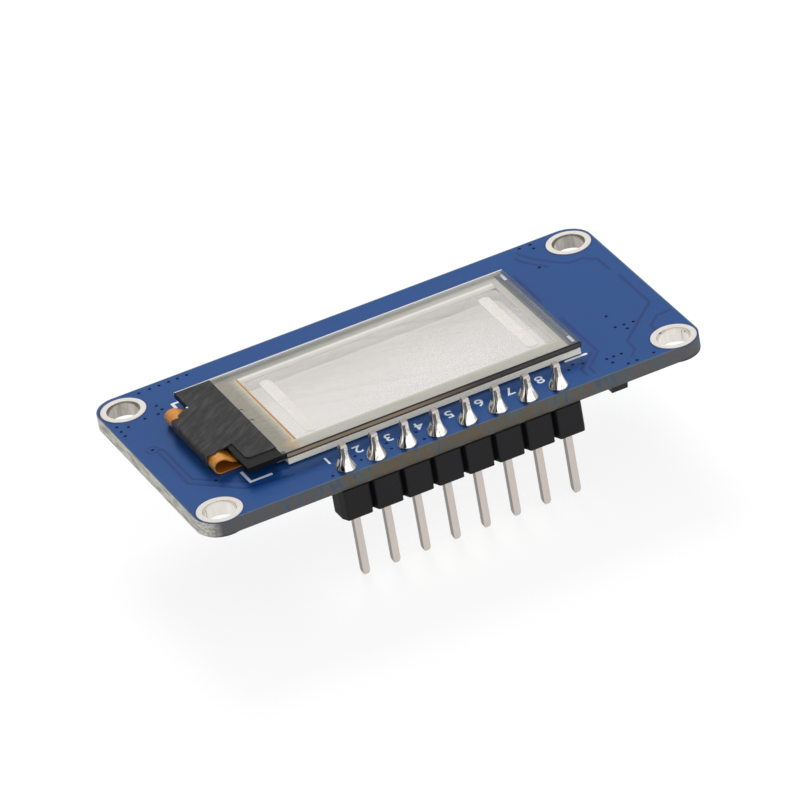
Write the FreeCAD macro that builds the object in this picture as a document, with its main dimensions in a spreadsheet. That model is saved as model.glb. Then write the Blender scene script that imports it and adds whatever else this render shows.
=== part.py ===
import FreeCAD, Part
import math
import os
import re

import Sketcher

# A small display module: a transparent glass panel over a cut-out in a blue circuit board, with
# four plated mounting holes and a row of eight square pins that point down.
# Millimetres, +Z up. X runs along the pin row and Y from the pin row to the rear edge.
# The origin is the centre of the four mounting holes, on the board's underside.

PIN_COUNT = 8

SIZES = {
    # circuit board
    "board_length": 42.0,
    "board_width": 22.0,
    "board_thickness": 1.2,
    "board_corner_radius": 2.0,
    "board_shift": 0.2,
    # plated mounting holes
    "hole_spacing_x": 38.0,
    "hole_spacing_y": 18.0,
    "hole_bore": 2.6,
    "plating_wall": 0.1,
    "pad_diameter": 3.55,
    "pad_thickness": 0.05,
    # lit area of the panel, and the cut-out under it
    "lit_centre_x": 0.15,
    "lit_centre_y": 0.3,
    "lit_length": 21.7,
    "lit_width": 10.9,
    "window_margin": 0.3,
    "window_corner_radius": 0.8,
    # panel, from the board up
    "adhesive_thickness": 0.1,
    "adhesive_width": 0.6,
    "cover_thickness": 0.5,
    "cover_inset": 0.1,
    "cover_margin_left": 1.5,
    "seal_thickness": 0.1,
    "seal_inset_right": 0.9,
    "seal_inset_front": 0.15,
    "seal_inset_rear": 0.35,
    "glass_thickness": 0.5,
    "glass_margin_left": 4.8,
    "glass_margin_right": 1.4,
    "glass_margin_front": 1.7,
    "glass_margin_rear": 1.2,
    "lit_layer_thickness": 0.04,
    "lit_layer_clearance": 0.03,
    "insulation_width": 0.3,
    "strip_width": 0.95,
    "strip_length": 9.1,
    "strip_depth": 0.2,
    "strip_inset": 1.1,
    "strip_shift": -0.45,
    # glass ledge with its driver chip, flat cable, foam pads and shade tape
    "chip_length": 9.2,
    "chip_width": 1.1,
    "chip_thickness": 0.3,
    "chip_gap": 0.7,
    "cable_thickness": 0.1,
    "cable_width": 9.3,
    "cable_shift": -0.15,
    "cable_landing": 0.9,
    "cable_bulge": 1.8,
    "cable_rise_start": 0.15,
    "cable_rise_length": 0.9,
    "cable_tail_gap": 0.6,
    "cable_bond_thickness": 0.05,
    "cable_bond_length": 1.4,
    "ledge_pad_inset": 0.1,
    "ledge_pad_gap": 0.3,
    "tape_thickness": 0.1,
    "tape_overlap": 0.4,
    "tape_rear_inset": 0.35,
    "tape_front_inset": 1.15,
    "tape_side_inset": 0.45,
    "tape_flap": 1.95,
    "tape_flap_front": -3.5,
    "tape_flap_rear": 2.9,
    "tape_root_front": -3.0,
    "tape_root_rear": 4.2,
    "tape_corner_radius": 0.4,
    # pin row
    "header_inset": 1.05,
    "pin_pitch": 2.54,
    "pin_side": 0.6,
    "pin_length": 11.4,
    "pin_rise": 2.05,
    "pin_tip_side": 0.36,
    "pin_tip_length": 0.45,
    "housing_width": 2.54,
    "housing_height": 2.54,
    "housing_chamfer": 0.45,
    "pin_hole_bore": 1.0,
    "solder_base": 1.56,
    "solder_waist": 1.2,
    "solder_neck": 0.86,
    "solder_rise": 1.5,
    "solder_curve": 2.0,
    # parts on the underside
    "regulator_x": 13.7,
    "regulator_y": -8.4,
    "regulator_width": 1.45,
    "regulator_length": 2.9,
    "regulator_height": 1.0,
    "regulator_standoff": 0.1,
    "regulator_chamfer": 0.1,
    "lead_span": 2.8,
    "lead_width": 0.4,
    "lead_thickness": 0.15,
    "lead_pitch": 0.95,
    "lead_height": 0.6,
    "lead_foot": 0.45,
    "chip_part_length": 1.6,
    "chip_part_width": 0.8,
    "chip_cap_length": 0.35,
    "chip_cap_wall": 0.03,
    "capacitor_height": 0.8,
    "resistor_height": 0.45,
    "column_gap": 2.8,
    "column_pitch": 3.1,
    "row_pitch": 2.1,
}

# chip parts under the board: side of the cut-out, column away from it and row behind its middle
CAPACITOR_PLACES = [(-1, 1, -2), (-1, 1, -1), (-1, 1, 1), (-1, 1, 2), (1, 0, -2), (1, 1, -2)]
RESISTOR_PLACES = [(-1, 0, -1), (-1, 0, 0), (-1, 0, 1), (1, 0, 1), (1, 1, 1)]

document = FreeCAD.newDocument("DisplayModule")
sheet = document.addObject("Spreadsheet::Sheet", "Sizes")
for row, (alias, value) in enumerate(SIZES.items(), start=1):
    sheet.set(f"A{row}", alias.replace("_", " "))
    sheet.set(f"B{row}", str(value))
    sheet.setAlias(f"B{row}", alias)
document.recompute()

# places that several pieces share, written with the sheet's words
DERIVED = {
    "board_front": "(board_shift - board_width / 2)",
    "pin_row_y": "(board_front + header_inset)",
    "lit_left": "(lit_centre_x - lit_length / 2)",
    "lit_right": "(lit_centre_x + lit_length / 2)",
    "lit_front": "(lit_centre_y - lit_width / 2)",
    "lit_rear": "(lit_centre_y + lit_width / 2)",
    "window_left": "(lit_left - window_margin)",
    "window_right": "(lit_right + window_margin)",
    "window_front": "(lit_front - window_margin)",
    "window_rear": "(lit_rear + window_margin)",
    "glass_left": "(lit_left - glass_margin_left)",
    "glass_right": "(lit_right + glass_margin_right)",
    "glass_front": "(lit_front - glass_margin_front)",
    "glass_rear": "(lit_rear + glass_margin_rear)",
    "cover_left": "(lit_left - cover_margin_left)",
    "cover_base": "(board_thickness + adhesive_thickness)",
    "seal_base": "(cover_base + cover_thickness)",
    "glass_base": "(seal_base + seal_thickness)",
    "glass_top": "(glass_base + glass_thickness)",
    "cable_y": "(lit_centre_y + cable_shift)",
    "cable_front": "(cable_y - cable_width / 2)",
    "cable_rear": "(cable_y + cable_width / 2)",
    "cable_tail": "(cover_left - cable_tail_gap)",
    "cable_low": "(board_thickness + cable_bond_thickness)",
}


def spelled(formula):
    """A formula in the sheet's words, as an expression that names the sheet's cells."""
    while any(re.search(rf"\b{word}\b", formula) for word in DERIVED):
        for word, meaning in DERIVED.items():
            formula = re.sub(rf"\b{word}\b", meaning, formula)
    return re.sub(r"\b(" + "|".join(SIZES) + r")\b", r"Sizes.\1", formula)


def size(formula):
    """The number that a formula in the sheet's words comes to."""
    return float(sheet.evalExpression(spelled(str(formula))))


def bind(item, **formulas):
    """Bind properties of an object to formulas. The names x, y and z stand for its place."""
    places = {"x": "Placement.Base.x", "y": "Placement.Base.y", "z": "Placement.Base.z"}
    for name, formula in formulas.items():
        item.setExpression(places.get(name, name), spelled(str(formula)))


# sketches and bodies

HALF_OUT = "half a circle outwards"
HALF_IN = "half a circle inwards"


def new_body(label):
    body = document.addObject("PartDesign::Body", label)
    body.Label = label
    return body


def new_sketch(body, name, plane="XY_Plane"):
    """An empty sketch on one of the body's own origin planes."""
    sketch = body.newObject("Sketcher::SketchObject", name)
    support = next(item for item in body.Origin.OriginFeatures if item.Role == plane)
    sketch.AttachmentSupport = [(support, "")]
    sketch.MapMode = "FlatFace"
    return sketch


def hold(sketch, kind, items, formula):
    """Add a constraint with a size and bind that size to a formula."""
    number = sketch.addConstraint(Sketcher.Constraint(kind, *items, size(formula)))
    sketch.setExpression(f"Constraints[{number}]", spelled(str(formula)))


def draw_outline(sketch, corners):
    """Close a line through the corners, each held by its two distances from the origin.

    The corners run counter-clockwise. A corner is (x, y), or (x, y, bend) where the side that
    follows it is an arc. The bend is a radius, negative where the arc bends inwards, or one of
    HALF_OUT and HALF_IN for half a circle over a side along X or Y."""
    first = sketch.GeometryCount
    points = [FreeCAD.Vector(size(corner[0]), size(corner[1]), 0) for corner in corners]
    bends = [corner[2] if len(corner) == 3 else None for corner in corners]
    ends = []
    for index, bend in enumerate(bends):
        start = points[index]
        end = points[(index + 1) % len(points)]
        if bend is None:
            sketch.addGeometry(Part.LineSegment(start, end))
            ends.append((1, 2))
            continue
        half = (end - start) / 2
        radius = {HALF_OUT: half.Length, HALF_IN: -half.Length}.get(bend) or size(bend)
        left = FreeCAD.Vector(-half.y, half.x, 0).normalize()
        reach = max(radius**2 - half.Length**2, 0) ** 0.5
        centre = start + half + left * (reach if radius > 0 else -reach)
        if radius < 0:
            start, end = end, start
        angles = [math.atan2(point.y - centre.y, point.x - centre.x) for point in (start, end)]
        circle = Part.Circle(centre, FreeCAD.Vector(0, 0, 1), abs(radius))
        sketch.addGeometry(Part.ArcOfCircle(circle, *angles))
        # a sketch's arcs run counter-clockwise, so one that bends inwards runs backwards
        ends.append((1, 2) if radius > 0 else (2, 1))
    for index, bend in enumerate(bends):
        side = first + index
        following = (index + 1) % len(corners)
        join = (side, ends[index][1], first + following, ends[following][0])
        sketch.addConstraint(Sketcher.Constraint("Coincident", *join))
        hold(sketch, "DistanceX", (-1, 1, side, ends[index][0]), corners[index][0])
        hold(sketch, "DistanceY", (-1, 1, side, ends[index][0]), corners[index][1])
        if bend in (HALF_OUT, HALF_IN):
            along_y = abs(points[index].x - points[following].x) < 1e-9
            kind = "DistanceX" if along_y else "DistanceY"
            hold(sketch, kind, (-1, 1, side, 3), corners[index][0 if along_y else 1])
        elif bend is not None:
            hold(sketch, "Radius", (side,), f"abs({bend})")


def draw_box(sketch, left, front, right, rear):
    draw_outline(sketch, [(left, front), (right, front), (right, rear), (left, rear)])


def draw_circle(sketch, x, y, diameter):
    centre = FreeCAD.Vector(size(x), size(y), 0)
    up = FreeCAD.Vector(0, 0, 1)
    ring = sketch.addGeometry(Part.Circle(centre, up, size(diameter) / 2))
    hold(sketch, "DistanceX", (-1, 1, ring, 3), x)
    hold(sketch, "DistanceY", (-1, 1, ring, 3), y)
    hold(sketch, "Diameter", (ring,), diameter)


def pad(body, name, sketch, length):
    feature = body.newObject("PartDesign::Pad", name)
    feature.Profile = sketch
    bind(feature, Length=length)
    sketch.Visibility = False
    return feature


def cut_through(body, name, sketch):
    """Cut a sketch through the whole body, and make sure that it took something away."""
    document.recompute()
    before = body.Shape.Volume
    feature = body.newObject("PartDesign::Pocket", name)
    feature.Profile = sketch
    feature.Type = "ThroughAll"
    feature.Midplane = True
    document.recompute()
    if body.Shape.Volume >= before:
        raise RuntimeError(f"{name} cuts nothing from {body.Label}")
    return feature


def upright_edges(shape, chosen):
    """Names of the straight edges along Z whose middle passes the test."""
    names = []
    for number, edge in enumerate(shape.Edges, start=1):
        along = edge.Vertexes[-1].Point - edge.Vertexes[0].Point
        if abs(along.z) > 0.99 * max(along.Length, 1e-9) and chosen(edge.CenterOfMass):
            names.append(f"Edge{number}")
    return names


def round_uprights(body, name, base, chosen, radius):
    document.recompute()
    feature = body.newObject("PartDesign::Fillet", name)
    feature.Base = (base, upright_edges(base.Shape, chosen))
    bind(feature, Radius=radius)
    document.recompute()
    return feature


def repeat_along_row(body, feature, sketch, name):
    """Repeat a feature at every pin of the row."""
    document.recompute()
    before = body.Shape.Volume
    pattern = body.newObject("PartDesign::LinearPattern", name)
    pattern.Originals = [feature]
    pattern.Direction = (sketch, ["H_Axis"])
    pattern.Occurrences = PIN_COUNT
    bind(pattern, Length=f"pin_pitch * {PIN_COUNT - 1}")
    body.Tip = pattern
    document.recompute()
    if abs(body.Shape.Volume - before) < 1e-9:
        raise RuntimeError(f"{name} repeats nothing")
    return pattern


def pin_x(index):
    """Formula for the place of a pin along the row, counted from the left."""
    return f"(pin_pitch * {index - (PIN_COUNT - 1) / 2})"


# circuit board: outline, display cut-out, mounting holes and pin holes


def make_board():
    body = new_body("circuit_board")
    outline = new_sketch(body, "board_outline")
    left, right = "-board_length / 2", "board_length / 2"
    draw_box(outline, left, "board_front", right, "board_front + board_width")
    blank = pad(body, "board_blank", outline, "board_thickness")
    round_uprights(body, "board_corners", blank, lambda point: True, "board_corner_radius")

    opening = new_sketch(body, "window_outline")
    draw_box(opening, "window_left", "window_front", "window_right", "window_rear")
    window = cut_through(body, "window", opening)
    reach = size("lit_length / 2 + window_margin") + 0.01
    inside = lambda point: abs(point.x - size("lit_centre_x")) < reach
    round_uprights(body, "window_corners", window, inside, "window_corner_radius")

    holes = new_sketch(body, "mounting_hole_circles")
    for side_x in (-1, 1):
        for side_y in (-1, 1):
            draw_circle(
                holes,
                f"hole_spacing_x / 2 * {side_x}",
                f"hole_spacing_y / 2 * {side_y}",
                "hole_bore + 2 * plating_wall",
            )
    cut_through(body, "mounting_holes", holes)

    pin_hole = new_sketch(body, "pin_hole_circle")
    draw_circle(pin_hole, pin_x(0), "pin_row_y", "pin_hole_bore")
    first = cut_through(body, "pin_hole", pin_hole)
    repeat_along_row(body, first, pin_hole, "pin_holes")
    return body


# mounting eyelets: the plating that lines each mounting hole and spreads over both faces


def make_mounting_eyelet(label, side_x, side_y):
    body = new_body(label)
    section = new_sketch(body, f"{label}_section", "XZ_Plane")
    bore, outside, rim = "hole_bore / 2", "hole_bore / 2 + plating_wall", "pad_diameter / 2"
    top = "board_thickness + pad_thickness"
    draw_outline(
        section,
        [
            (bore, "-pad_thickness"),
            (rim, "-pad_thickness"),
            (rim, "0"),
            (outside, "0"),
            (outside, "board_thickness"),
            (rim, "board_thickness"),
            (rim, top),
            (bore, top),
        ],
    )
    turned = body.newObject("PartDesign::Revolution", f"{label}_turned")
    turned.Profile = section
    turned.ReferenceAxis = (section, ["V_Axis"])
    turned.Angle = 360
    bind(body, x=f"hole_spacing_x / 2 * {side_x}", y=f"hole_spacing_y / 2 * {side_y}")
    return body


# display panel: adhesive frame, cover glass, edge seal, lit layer and carrier glass


def make_plate(label, left, front, right, rear, base, thickness):
    """A flat plate between four edges, standing on a height."""
    plate = document.addObject("Part::Box", label)
    plate.Label = label
    bind(plate, Length=f"{right} - ({left})", Width=f"{rear} - ({front})", Height=thickness)
    bind(plate, x=left, y=front, z=base)
    return plate


def make_frame(label, outer, inner, base, thickness):
    """A flat frame: an outer and an inner box, each as left, front, right and rear."""
    body = new_body(label)
    outline = new_sketch(body, f"{label}_outline")
    draw_box(outline, *outer)
    draw_box(outline, *inner)
    pad(body, f"{label}_sheet", outline, thickness)
    bind(body, z=base)
    return body


def make_adhesive_frame():
    """Clear double-sided tape round the cut-out, flush with its straight sides."""
    inner = ("window_left", "window_front", "window_right", "window_rear")
    outer = (
        "window_left - adhesive_width",
        "window_front - adhesive_width",
        "window_right + adhesive_width",
        "window_rear + adhesive_width",
    )
    return make_frame("adhesive_frame", outer, inner, "board_thickness", "adhesive_thickness")


def strip_box(side):
    """Formulas for the left and front edge of a drying strip, on the left or right side."""
    if side < 0:
        left = "lit_left + strip_inset"
    else:
        left = "lit_right - strip_inset - strip_width"
    return left, "lit_centre_y + strip_shift - strip_length / 2"


def strip_sketch(body, name, side):
    """A straight slot with round ends, drawn where the strip lies."""
    sketch = new_sketch(body, name)
    left, front = strip_box(side)
    low, high = f"{front} + strip_width / 2", f"{front} + strip_length - strip_width / 2"
    corners = [
        (left, low, HALF_OUT),
        (f"{left} + strip_width", low),
        (f"{left} + strip_width", high, HALF_OUT),
        (left, high),
    ]
    draw_outline(sketch, corners)
    return sketch


def make_cover_glass():
    """Lower glass, with a shallow pocket in its upper face for each drying strip."""
    body = new_body("cover_glass")
    outline = new_sketch(body, "cover_outline")
    draw_box(
        outline,
        "cover_left",
        "glass_front + cover_inset",
        "glass_right - cover_inset",
        "glass_rear - cover_inset",
    )
    pad(body, "cover_sheet", outline, "cover_thickness")
    for side, name in ((-1, "left"), (1, "right")):
        document.recompute()
        before = body.Shape.Volume
        slot = strip_sketch(body, f"{name}_pocket_outline", side)
        slot.setExpression("AttachmentOffset.Base.z", spelled("cover_thickness"))
        pocket = body.newObject("PartDesign::Pocket", f"{name}_pocket")
        pocket.Profile = slot
        bind(pocket, Length="strip_depth")
        document.recompute()
        if body.Shape.Volume >= before:
            raise RuntimeError("a pocket of the cover glass cuts nothing")
    bind(body, z="cover_base")
    return body


def make_drying_strip(label, side):
    body = new_body(label)
    pad(body, f"{label}_pad", strip_sketch(body, f"{label}_outline", side), "strip_depth")
    bind(body, z="seal_base - strip_depth")
    return body


def make_edge_seal():
    """Grey sealing frame between the two glasses, open over the lit area."""
    outer = (
        "cover_left",
        "glass_front + seal_inset_front",
        "glass_right - seal_inset_right",
        "glass_rear - seal_inset_rear",
    )
    inner = ("lit_left - insulation_width", "lit_front", "lit_right", "lit_rear")
    return make_frame("edge_seal", outer, inner, "seal_base", "seal_thickness")


def make_lit_layer():
    return make_plate(
        "lit_layer",
        "lit_left",
        "lit_front + lit_layer_clearance",
        "lit_right - lit_layer_clearance",
        "lit_rear - lit_layer_clearance",
        "glass_base - lit_layer_thickness",
        "lit_layer_thickness",
    )


def make_insulation_strip():
    """Amber strip along the left side of the lit area, under the carrier glass."""
    return make_plate(
        "insulation_strip",
        "lit_left - insulation_width",
        "lit_front",
        "lit_left",
        "lit_rear",
        "seal_base",
        "seal_thickness",
    )


def make_carrier_glass():
    """Upper glass. Its left end reaches past the cover as a ledge for the driver chip."""
    edges = ("glass_left", "glass_front", "glass_right", "glass_rear")
    return make_plate("carrier_glass", *edges, "glass_base", "glass_thickness")


# glass ledge: driver chip, folded flat cable, its solder layer, foam pads and shade tape


def make_driver_chip():
    return make_plate(
        "driver_chip",
        "cover_left - chip_gap - chip_width",
        "lit_centre_y - chip_length / 2",
        "cover_left - chip_gap",
        "lit_centre_y + chip_length / 2",
        "glass_base - chip_thickness",
        "chip_thickness",
    )


def make_flat_cable():
    """Polyimide ribbon: bonded under the ledge, lifted to the tape, then folded back down.

    Its section is drawn in the XZ plane. The top of the fold meets the tape and the lower run
    ends on the solder layer."""
    body = new_body("flat_cable")
    section = new_sketch(body, "cable_section", "XZ_Plane")
    landing, rise = "glass_left + cable_landing", "glass_left - cable_rise_start"
    crest = f"{rise} - cable_rise_length"
    fold = "(glass_left - cable_bulge + (glass_top - cable_low) / 2)"
    draw_outline(
        section,
        [
            (fold, "cable_low"),
            ("cable_tail", "cable_low"),
            ("cable_tail", "cable_low + cable_thickness"),
            (fold, "cable_low + cable_thickness", HALF_IN),
            (fold, "glass_top - cable_thickness"),
            (crest, "glass_top - cable_thickness"),
            (rise, "glass_base - cable_thickness"),
            (landing, "glass_base - cable_thickness"),
            (landing, "glass_base"),
            (rise, "glass_base"),
            (crest, "glass_top"),
            (fold, "glass_top", HALF_OUT),
        ],
    )
    ribbon = pad(body, "cable_sheet", section, "cable_width")
    ribbon.Midplane = True
    bind(body, y="cable_y")
    return body


def make_cable_bond():
    """Solder layer that holds the cable's tail on the board."""
    return make_plate(
        "cable_bond",
        "cable_tail - cable_bond_length",
        "cable_front",
        "cable_tail",
        "cable_rear",
        "board_thickness",
        "cable_bond_thickness",
    )


def make_ledge_pad(label, front, rear):
    return make_plate(
        label,
        "glass_left + ledge_pad_inset",
        front,
        "cover_left - ledge_pad_gap",
        rear,
        "board_thickness",
        "glass_base - board_thickness",
    )


def make_shade_tape():
    """Black tape on the ledge. Its flap runs out over the cable's fold."""
    body = new_body("shade_tape")
    outline = new_sketch(body, "tape_outline")
    flap = "glass_left - tape_flap"
    side = "glass_left + tape_side_inset"
    front = "glass_front + tape_front_inset"
    rear = "glass_rear - tape_rear_inset"
    right = "cover_left - tape_overlap"
    draw_outline(
        outline,
        [
            (side, front),
            (right, front),
            (right, rear),
            ("glass_left", rear),
            ("glass_left", "tape_root_rear"),
            (flap, "tape_flap_rear"),
            (flap, "tape_flap_front"),
            (side, "tape_root_front"),
        ],
    )
    sheet_of_tape = pad(body, "tape_sheet", outline, "tape_thickness")
    corner = FreeCAD.Vector(size(side), size(front), 0)
    at_corner = lambda point: abs(point.x - corner.x) + abs(point.y - corner.y) < 1e-3
    round_uprights(body, "tape_corner", sheet_of_tape, at_corner, "tape_corner_radius")
    bind(body, z="glass_top")
    return body


# pin row: moulded strip, square pins and the solder joints that hold them


def make_pin_housing():
    """Eight moulded cells with chamfered corners in one strip, each with a square hole."""
    body = new_body("pin_housing")
    cell = new_sketch(body, "cell_outline")
    half = "pin_pitch / 2"
    deep = "housing_width / 2"
    middle = pin_x(0)
    row = "pin_row_y"
    cut = "housing_chamfer"
    draw_outline(
        cell,
        [
            (f"{middle} - {half} + {cut}", f"{row} - {deep}"),
            (f"{middle} + {half} - {cut}", f"{row} - {deep}"),
            (f"{middle} + {half}", f"{row} - {deep} + {cut}"),
            (f"{middle} + {half}", f"{row} + {deep} - {cut}"),
            (f"{middle} + {half} - {cut}", f"{row} + {deep}"),
            (f"{middle} - {half} + {cut}", f"{row} + {deep}"),
            (f"{middle} - {half}", f"{row} + {deep} - {cut}"),
            (f"{middle} - {half}", f"{row} - {deep} + {cut}"),
        ],
    )
    block = pad(body, "cell", cell, "housing_height")
    repeat_along_row(body, block, cell, "cells")
    hole = new_sketch(body, "pin_slot_outline")
    reach = "pin_side / 2"
    draw_box(
        hole,
        f"{middle} - {reach}",
        f"{row} - {reach}",
        f"{middle} + {reach}",
        f"{row} + {reach}",
    )
    first = cut_through(body, "pin_slot", hole)
    repeat_along_row(body, first, hole, "pin_slots")
    bind(body, z="-housing_height")
    return body


def make_pin(label, index):
    """Square pin whose two ends taper to a smaller square."""
    shank = document.addObject("Part::Box", f"{label}_shank")
    bind(shank, Length="pin_side", Width="pin_side", Height="pin_length - 2 * pin_tip_length")
    bind(shank, x="-pin_side / 2", y="-pin_side / 2", z="pin_tip_length")
    solids = [shank]
    along_x = FreeCAD.Vector(1, 0, 0)
    for end, angle, height in (
        ("lower", -90, "pin_tip_length"),
        ("upper", 90, "pin_length - pin_tip_length"),
    ):
        tip = document.addObject("Part::Wedge", f"{label}_{end}_tip")
        bind(tip, Xmin="-pin_side / 2", Xmax="pin_side / 2", Zmin="-pin_side / 2")
        bind(tip, Zmax="pin_side / 2", Ymin="0", Ymax="pin_tip_length")
        bind(tip, X2min="-pin_tip_side / 2", X2max="pin_tip_side / 2")
        bind(tip, Z2min="-pin_tip_side / 2", Z2max="pin_tip_side / 2")
        tip.Placement.Rotation = FreeCAD.Rotation(along_x, angle)
        bind(tip, z=height)
        solids.append(tip)
    pin = document.addObject("Part::MultiFuse", label)
    pin.Label = label
    pin.Shapes = solids
    pin.Refine = True
    bind(pin, x=pin_x(index), y="pin_row_y", z="board_thickness + pin_rise - pin_length")
    return pin


def make_solder_joint(label, index):
    """Solder that fills the hole round a pin and climbs it in a bell with a slim neck."""
    body = new_body(label)
    section = new_sketch(body, f"{label}_section", "XZ_Plane")
    top = "board_thickness + solder_rise"
    draw_outline(
        section,
        [
            ("0", "0"),
            ("pin_hole_bore / 2", "0"),
            ("pin_hole_bore / 2", "board_thickness"),
            ("solder_base / 2", "board_thickness", "solder_curve"),
            ("solder_waist / 2", "board_thickness + solder_rise / 2", "-solder_curve"),
            ("solder_neck / 2", top),
            ("0", top),
        ],
    )
    turned = body.newObject("PartDesign::Revolution", f"{label}_turned")
    turned.Profile = section
    turned.ReferenceAxis = (section, ["V_Axis"])
    turned.Angle = 360
    slot = new_sketch(body, f"{label}_pin_slot")
    reach = "pin_side / 2"
    draw_box(slot, f"-{reach}", f"-{reach}", reach, reach)
    cut_through(body, f"{label}_pin_hole", slot)
    bind(body, x=pin_x(index), y="pin_row_y")
    return body


# parts on the underside: regulator with five leads, chip capacitors and chip resistors


def make_regulator_body():
    body = new_body("regulator_body")
    outline = new_sketch(body, "regulator_outline")
    wide, long = "regulator_width / 2", "regulator_length / 2"
    draw_box(outline, f"-{wide}", f"-{long}", wide, long)
    block = pad(body, "regulator_block", outline, "regulator_height")
    document.recompute()
    lowest = block.Shape.BoundBox.ZMin
    lower_rim = [
        f"Edge{number}"
        for number, edge in enumerate(block.Shape.Edges, start=1)
        if edge.BoundBox.ZMax < lowest + 1e-6
    ]
    bevel = body.newObject("PartDesign::Chamfer", "regulator_bevel")
    bevel.Base = (block, lower_rim)
    bind(bevel, Size="regulator_chamfer")
    bind(body, x="regulator_x", y="regulator_y", z="-regulator_height - regulator_standoff")
    return body


def make_regulator_lead(label, side, place):
    """A bent lead, on the left or right side and so many pitches from the middle."""
    body = new_body(label)
    section = new_sketch(body, f"{label}_section", "XZ_Plane")
    span, wide, thick = "lead_span / 2", "regulator_width / 2", "lead_thickness"
    knee = "lead_span / 2 - lead_foot"
    corners = [
        (span, f"-{thick}"),
        (span, "0"),
        (knee, "0"),
        (knee, "-lead_height"),
        (wide, "-lead_height"),
        (wide, f"-lead_height - {thick}"),
        (f"{knee} + {thick}", f"-lead_height - {thick}"),
        (f"{knee} + {thick}", f"-{thick}"),
    ]
    draw_outline(section, [(f"({x}) * {side}", z) for x, z in corners])
    lead = pad(body, f"{label}_sheet", section, "lead_width")
    lead.Midplane = True
    bind(body, x="regulator_x", y=f"regulator_y + lead_pitch * {place}")
    return body


def make_chip_part(label, height, side, column, row):
    """Chip capacitor or resistor under the board: a block with a metal cap on each end."""
    block = document.addObject("Part::Box", f"{label}_block")
    bind(block, Length="chip_part_length - chip_cap_length", Width="chip_part_width", Height=height)
    bind(block, x="-(chip_part_length - chip_cap_length) / 2", y="-chip_part_width / 2")
    solids = [block]
    for end, left in (
        ("left", "-chip_part_length / 2"),
        ("right", "chip_part_length / 2 - chip_cap_length"),
    ):
        cap = document.addObject("Part::Box", f"{label}_{end}_cap")
        bind(cap, Length="chip_cap_length", Width="chip_part_width + 2 * chip_cap_wall")
        bind(cap, Height=f"{height} + 2 * chip_cap_wall", x=left, z="-chip_cap_wall")
        bind(cap, y="-chip_part_width / 2 - chip_cap_wall")
        solids.append(cap)
    part = document.addObject("Part::MultiFuse", label)
    part.Label = label
    part.Shapes = solids
    edge = "window_left" if side < 0 else "window_right"
    bind(part, x=f"{edge} + (column_gap + column_pitch * {column}) * {side}")
    bind(part, y=f"lit_centre_y + row_pitch * {row}", z=f"-({height}) - chip_cap_wall")
    return part


# build every piece, check it and write its file

pieces = [make_board()]
for number, (side_x, side_y) in enumerate([(-1, -1), (1, -1), (1, 1), (-1, 1)], start=1):
    pieces.append(make_mounting_eyelet(f"mounting_eyelet_{number}", side_x, side_y))
pieces.append(make_adhesive_frame())
pieces.append(make_cover_glass())
pieces.append(make_drying_strip("drying_strip_left", -1))
pieces.append(make_drying_strip("drying_strip_right", 1))
pieces.append(make_edge_seal())
pieces.append(make_lit_layer())
pieces.append(make_insulation_strip())
pieces.append(make_carrier_glass())
pieces.append(make_driver_chip())
pieces.append(make_flat_cable())
pieces.append(make_cable_bond())
front_pad = ("glass_front + ledge_pad_inset", "cable_front - ledge_pad_gap")
rear_pad = ("cable_rear + ledge_pad_gap", "glass_rear - ledge_pad_inset")
pieces.append(make_ledge_pad("ledge_pad_front", *front_pad))
pieces.append(make_ledge_pad("ledge_pad_rear", *rear_pad))
pieces.append(make_shade_tape())
pieces.append(make_pin_housing())
for index in range(PIN_COUNT):
    pieces.append(make_pin(f"pin_{index + 1}", index))
for index in range(PIN_COUNT):
    pieces.append(make_solder_joint(f"solder_joint_{index + 1}", index))
pieces.append(make_regulator_body())
lead_places = [(-1, -1), (-1, 0), (-1, 1), (1, -1), (1, 1)]
for number, (side, place) in enumerate(lead_places, start=1):
    pieces.append(make_regulator_lead(f"regulator_lead_{number}", side, place))
for number, place in enumerate(CAPACITOR_PLACES, start=1):
    pieces.append(make_chip_part(f"capacitor_{number}", "capacitor_height", *place))
for number, place in enumerate(RESISTOR_PLACES, start=1):
    pieces.append(make_chip_part(f"resistor_{number}", "resistor_height", *place))

document.recompute()
failed = [item.Name for item in document.Objects if {"Invalid", "Error"} & set(item.State)]
if failed:
    raise RuntimeError(f"these objects failed: {failed}")
for piece in pieces:
    if piece.Shape.isNull() or not piece.Shape.isValid():
        raise RuntimeError(f"{piece.Label} has no valid shape")

os.makedirs("parts", exist_ok=True)
for piece in pieces:
    piece.Shape.exportStep(f"parts/{piece.Label}.step")
    box = piece.Shape.optimalBoundingBox()
    print(
        f"{piece.Label}: {piece.Shape.Volume:.3f} mm3, x {box.XMin:.2f} to {box.XMax:.2f},"
        f" y {box.YMin:.2f} to {box.YMax:.2f}, z {box.ZMin:.2f} to {box.ZMax:.2f}"
    )
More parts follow.
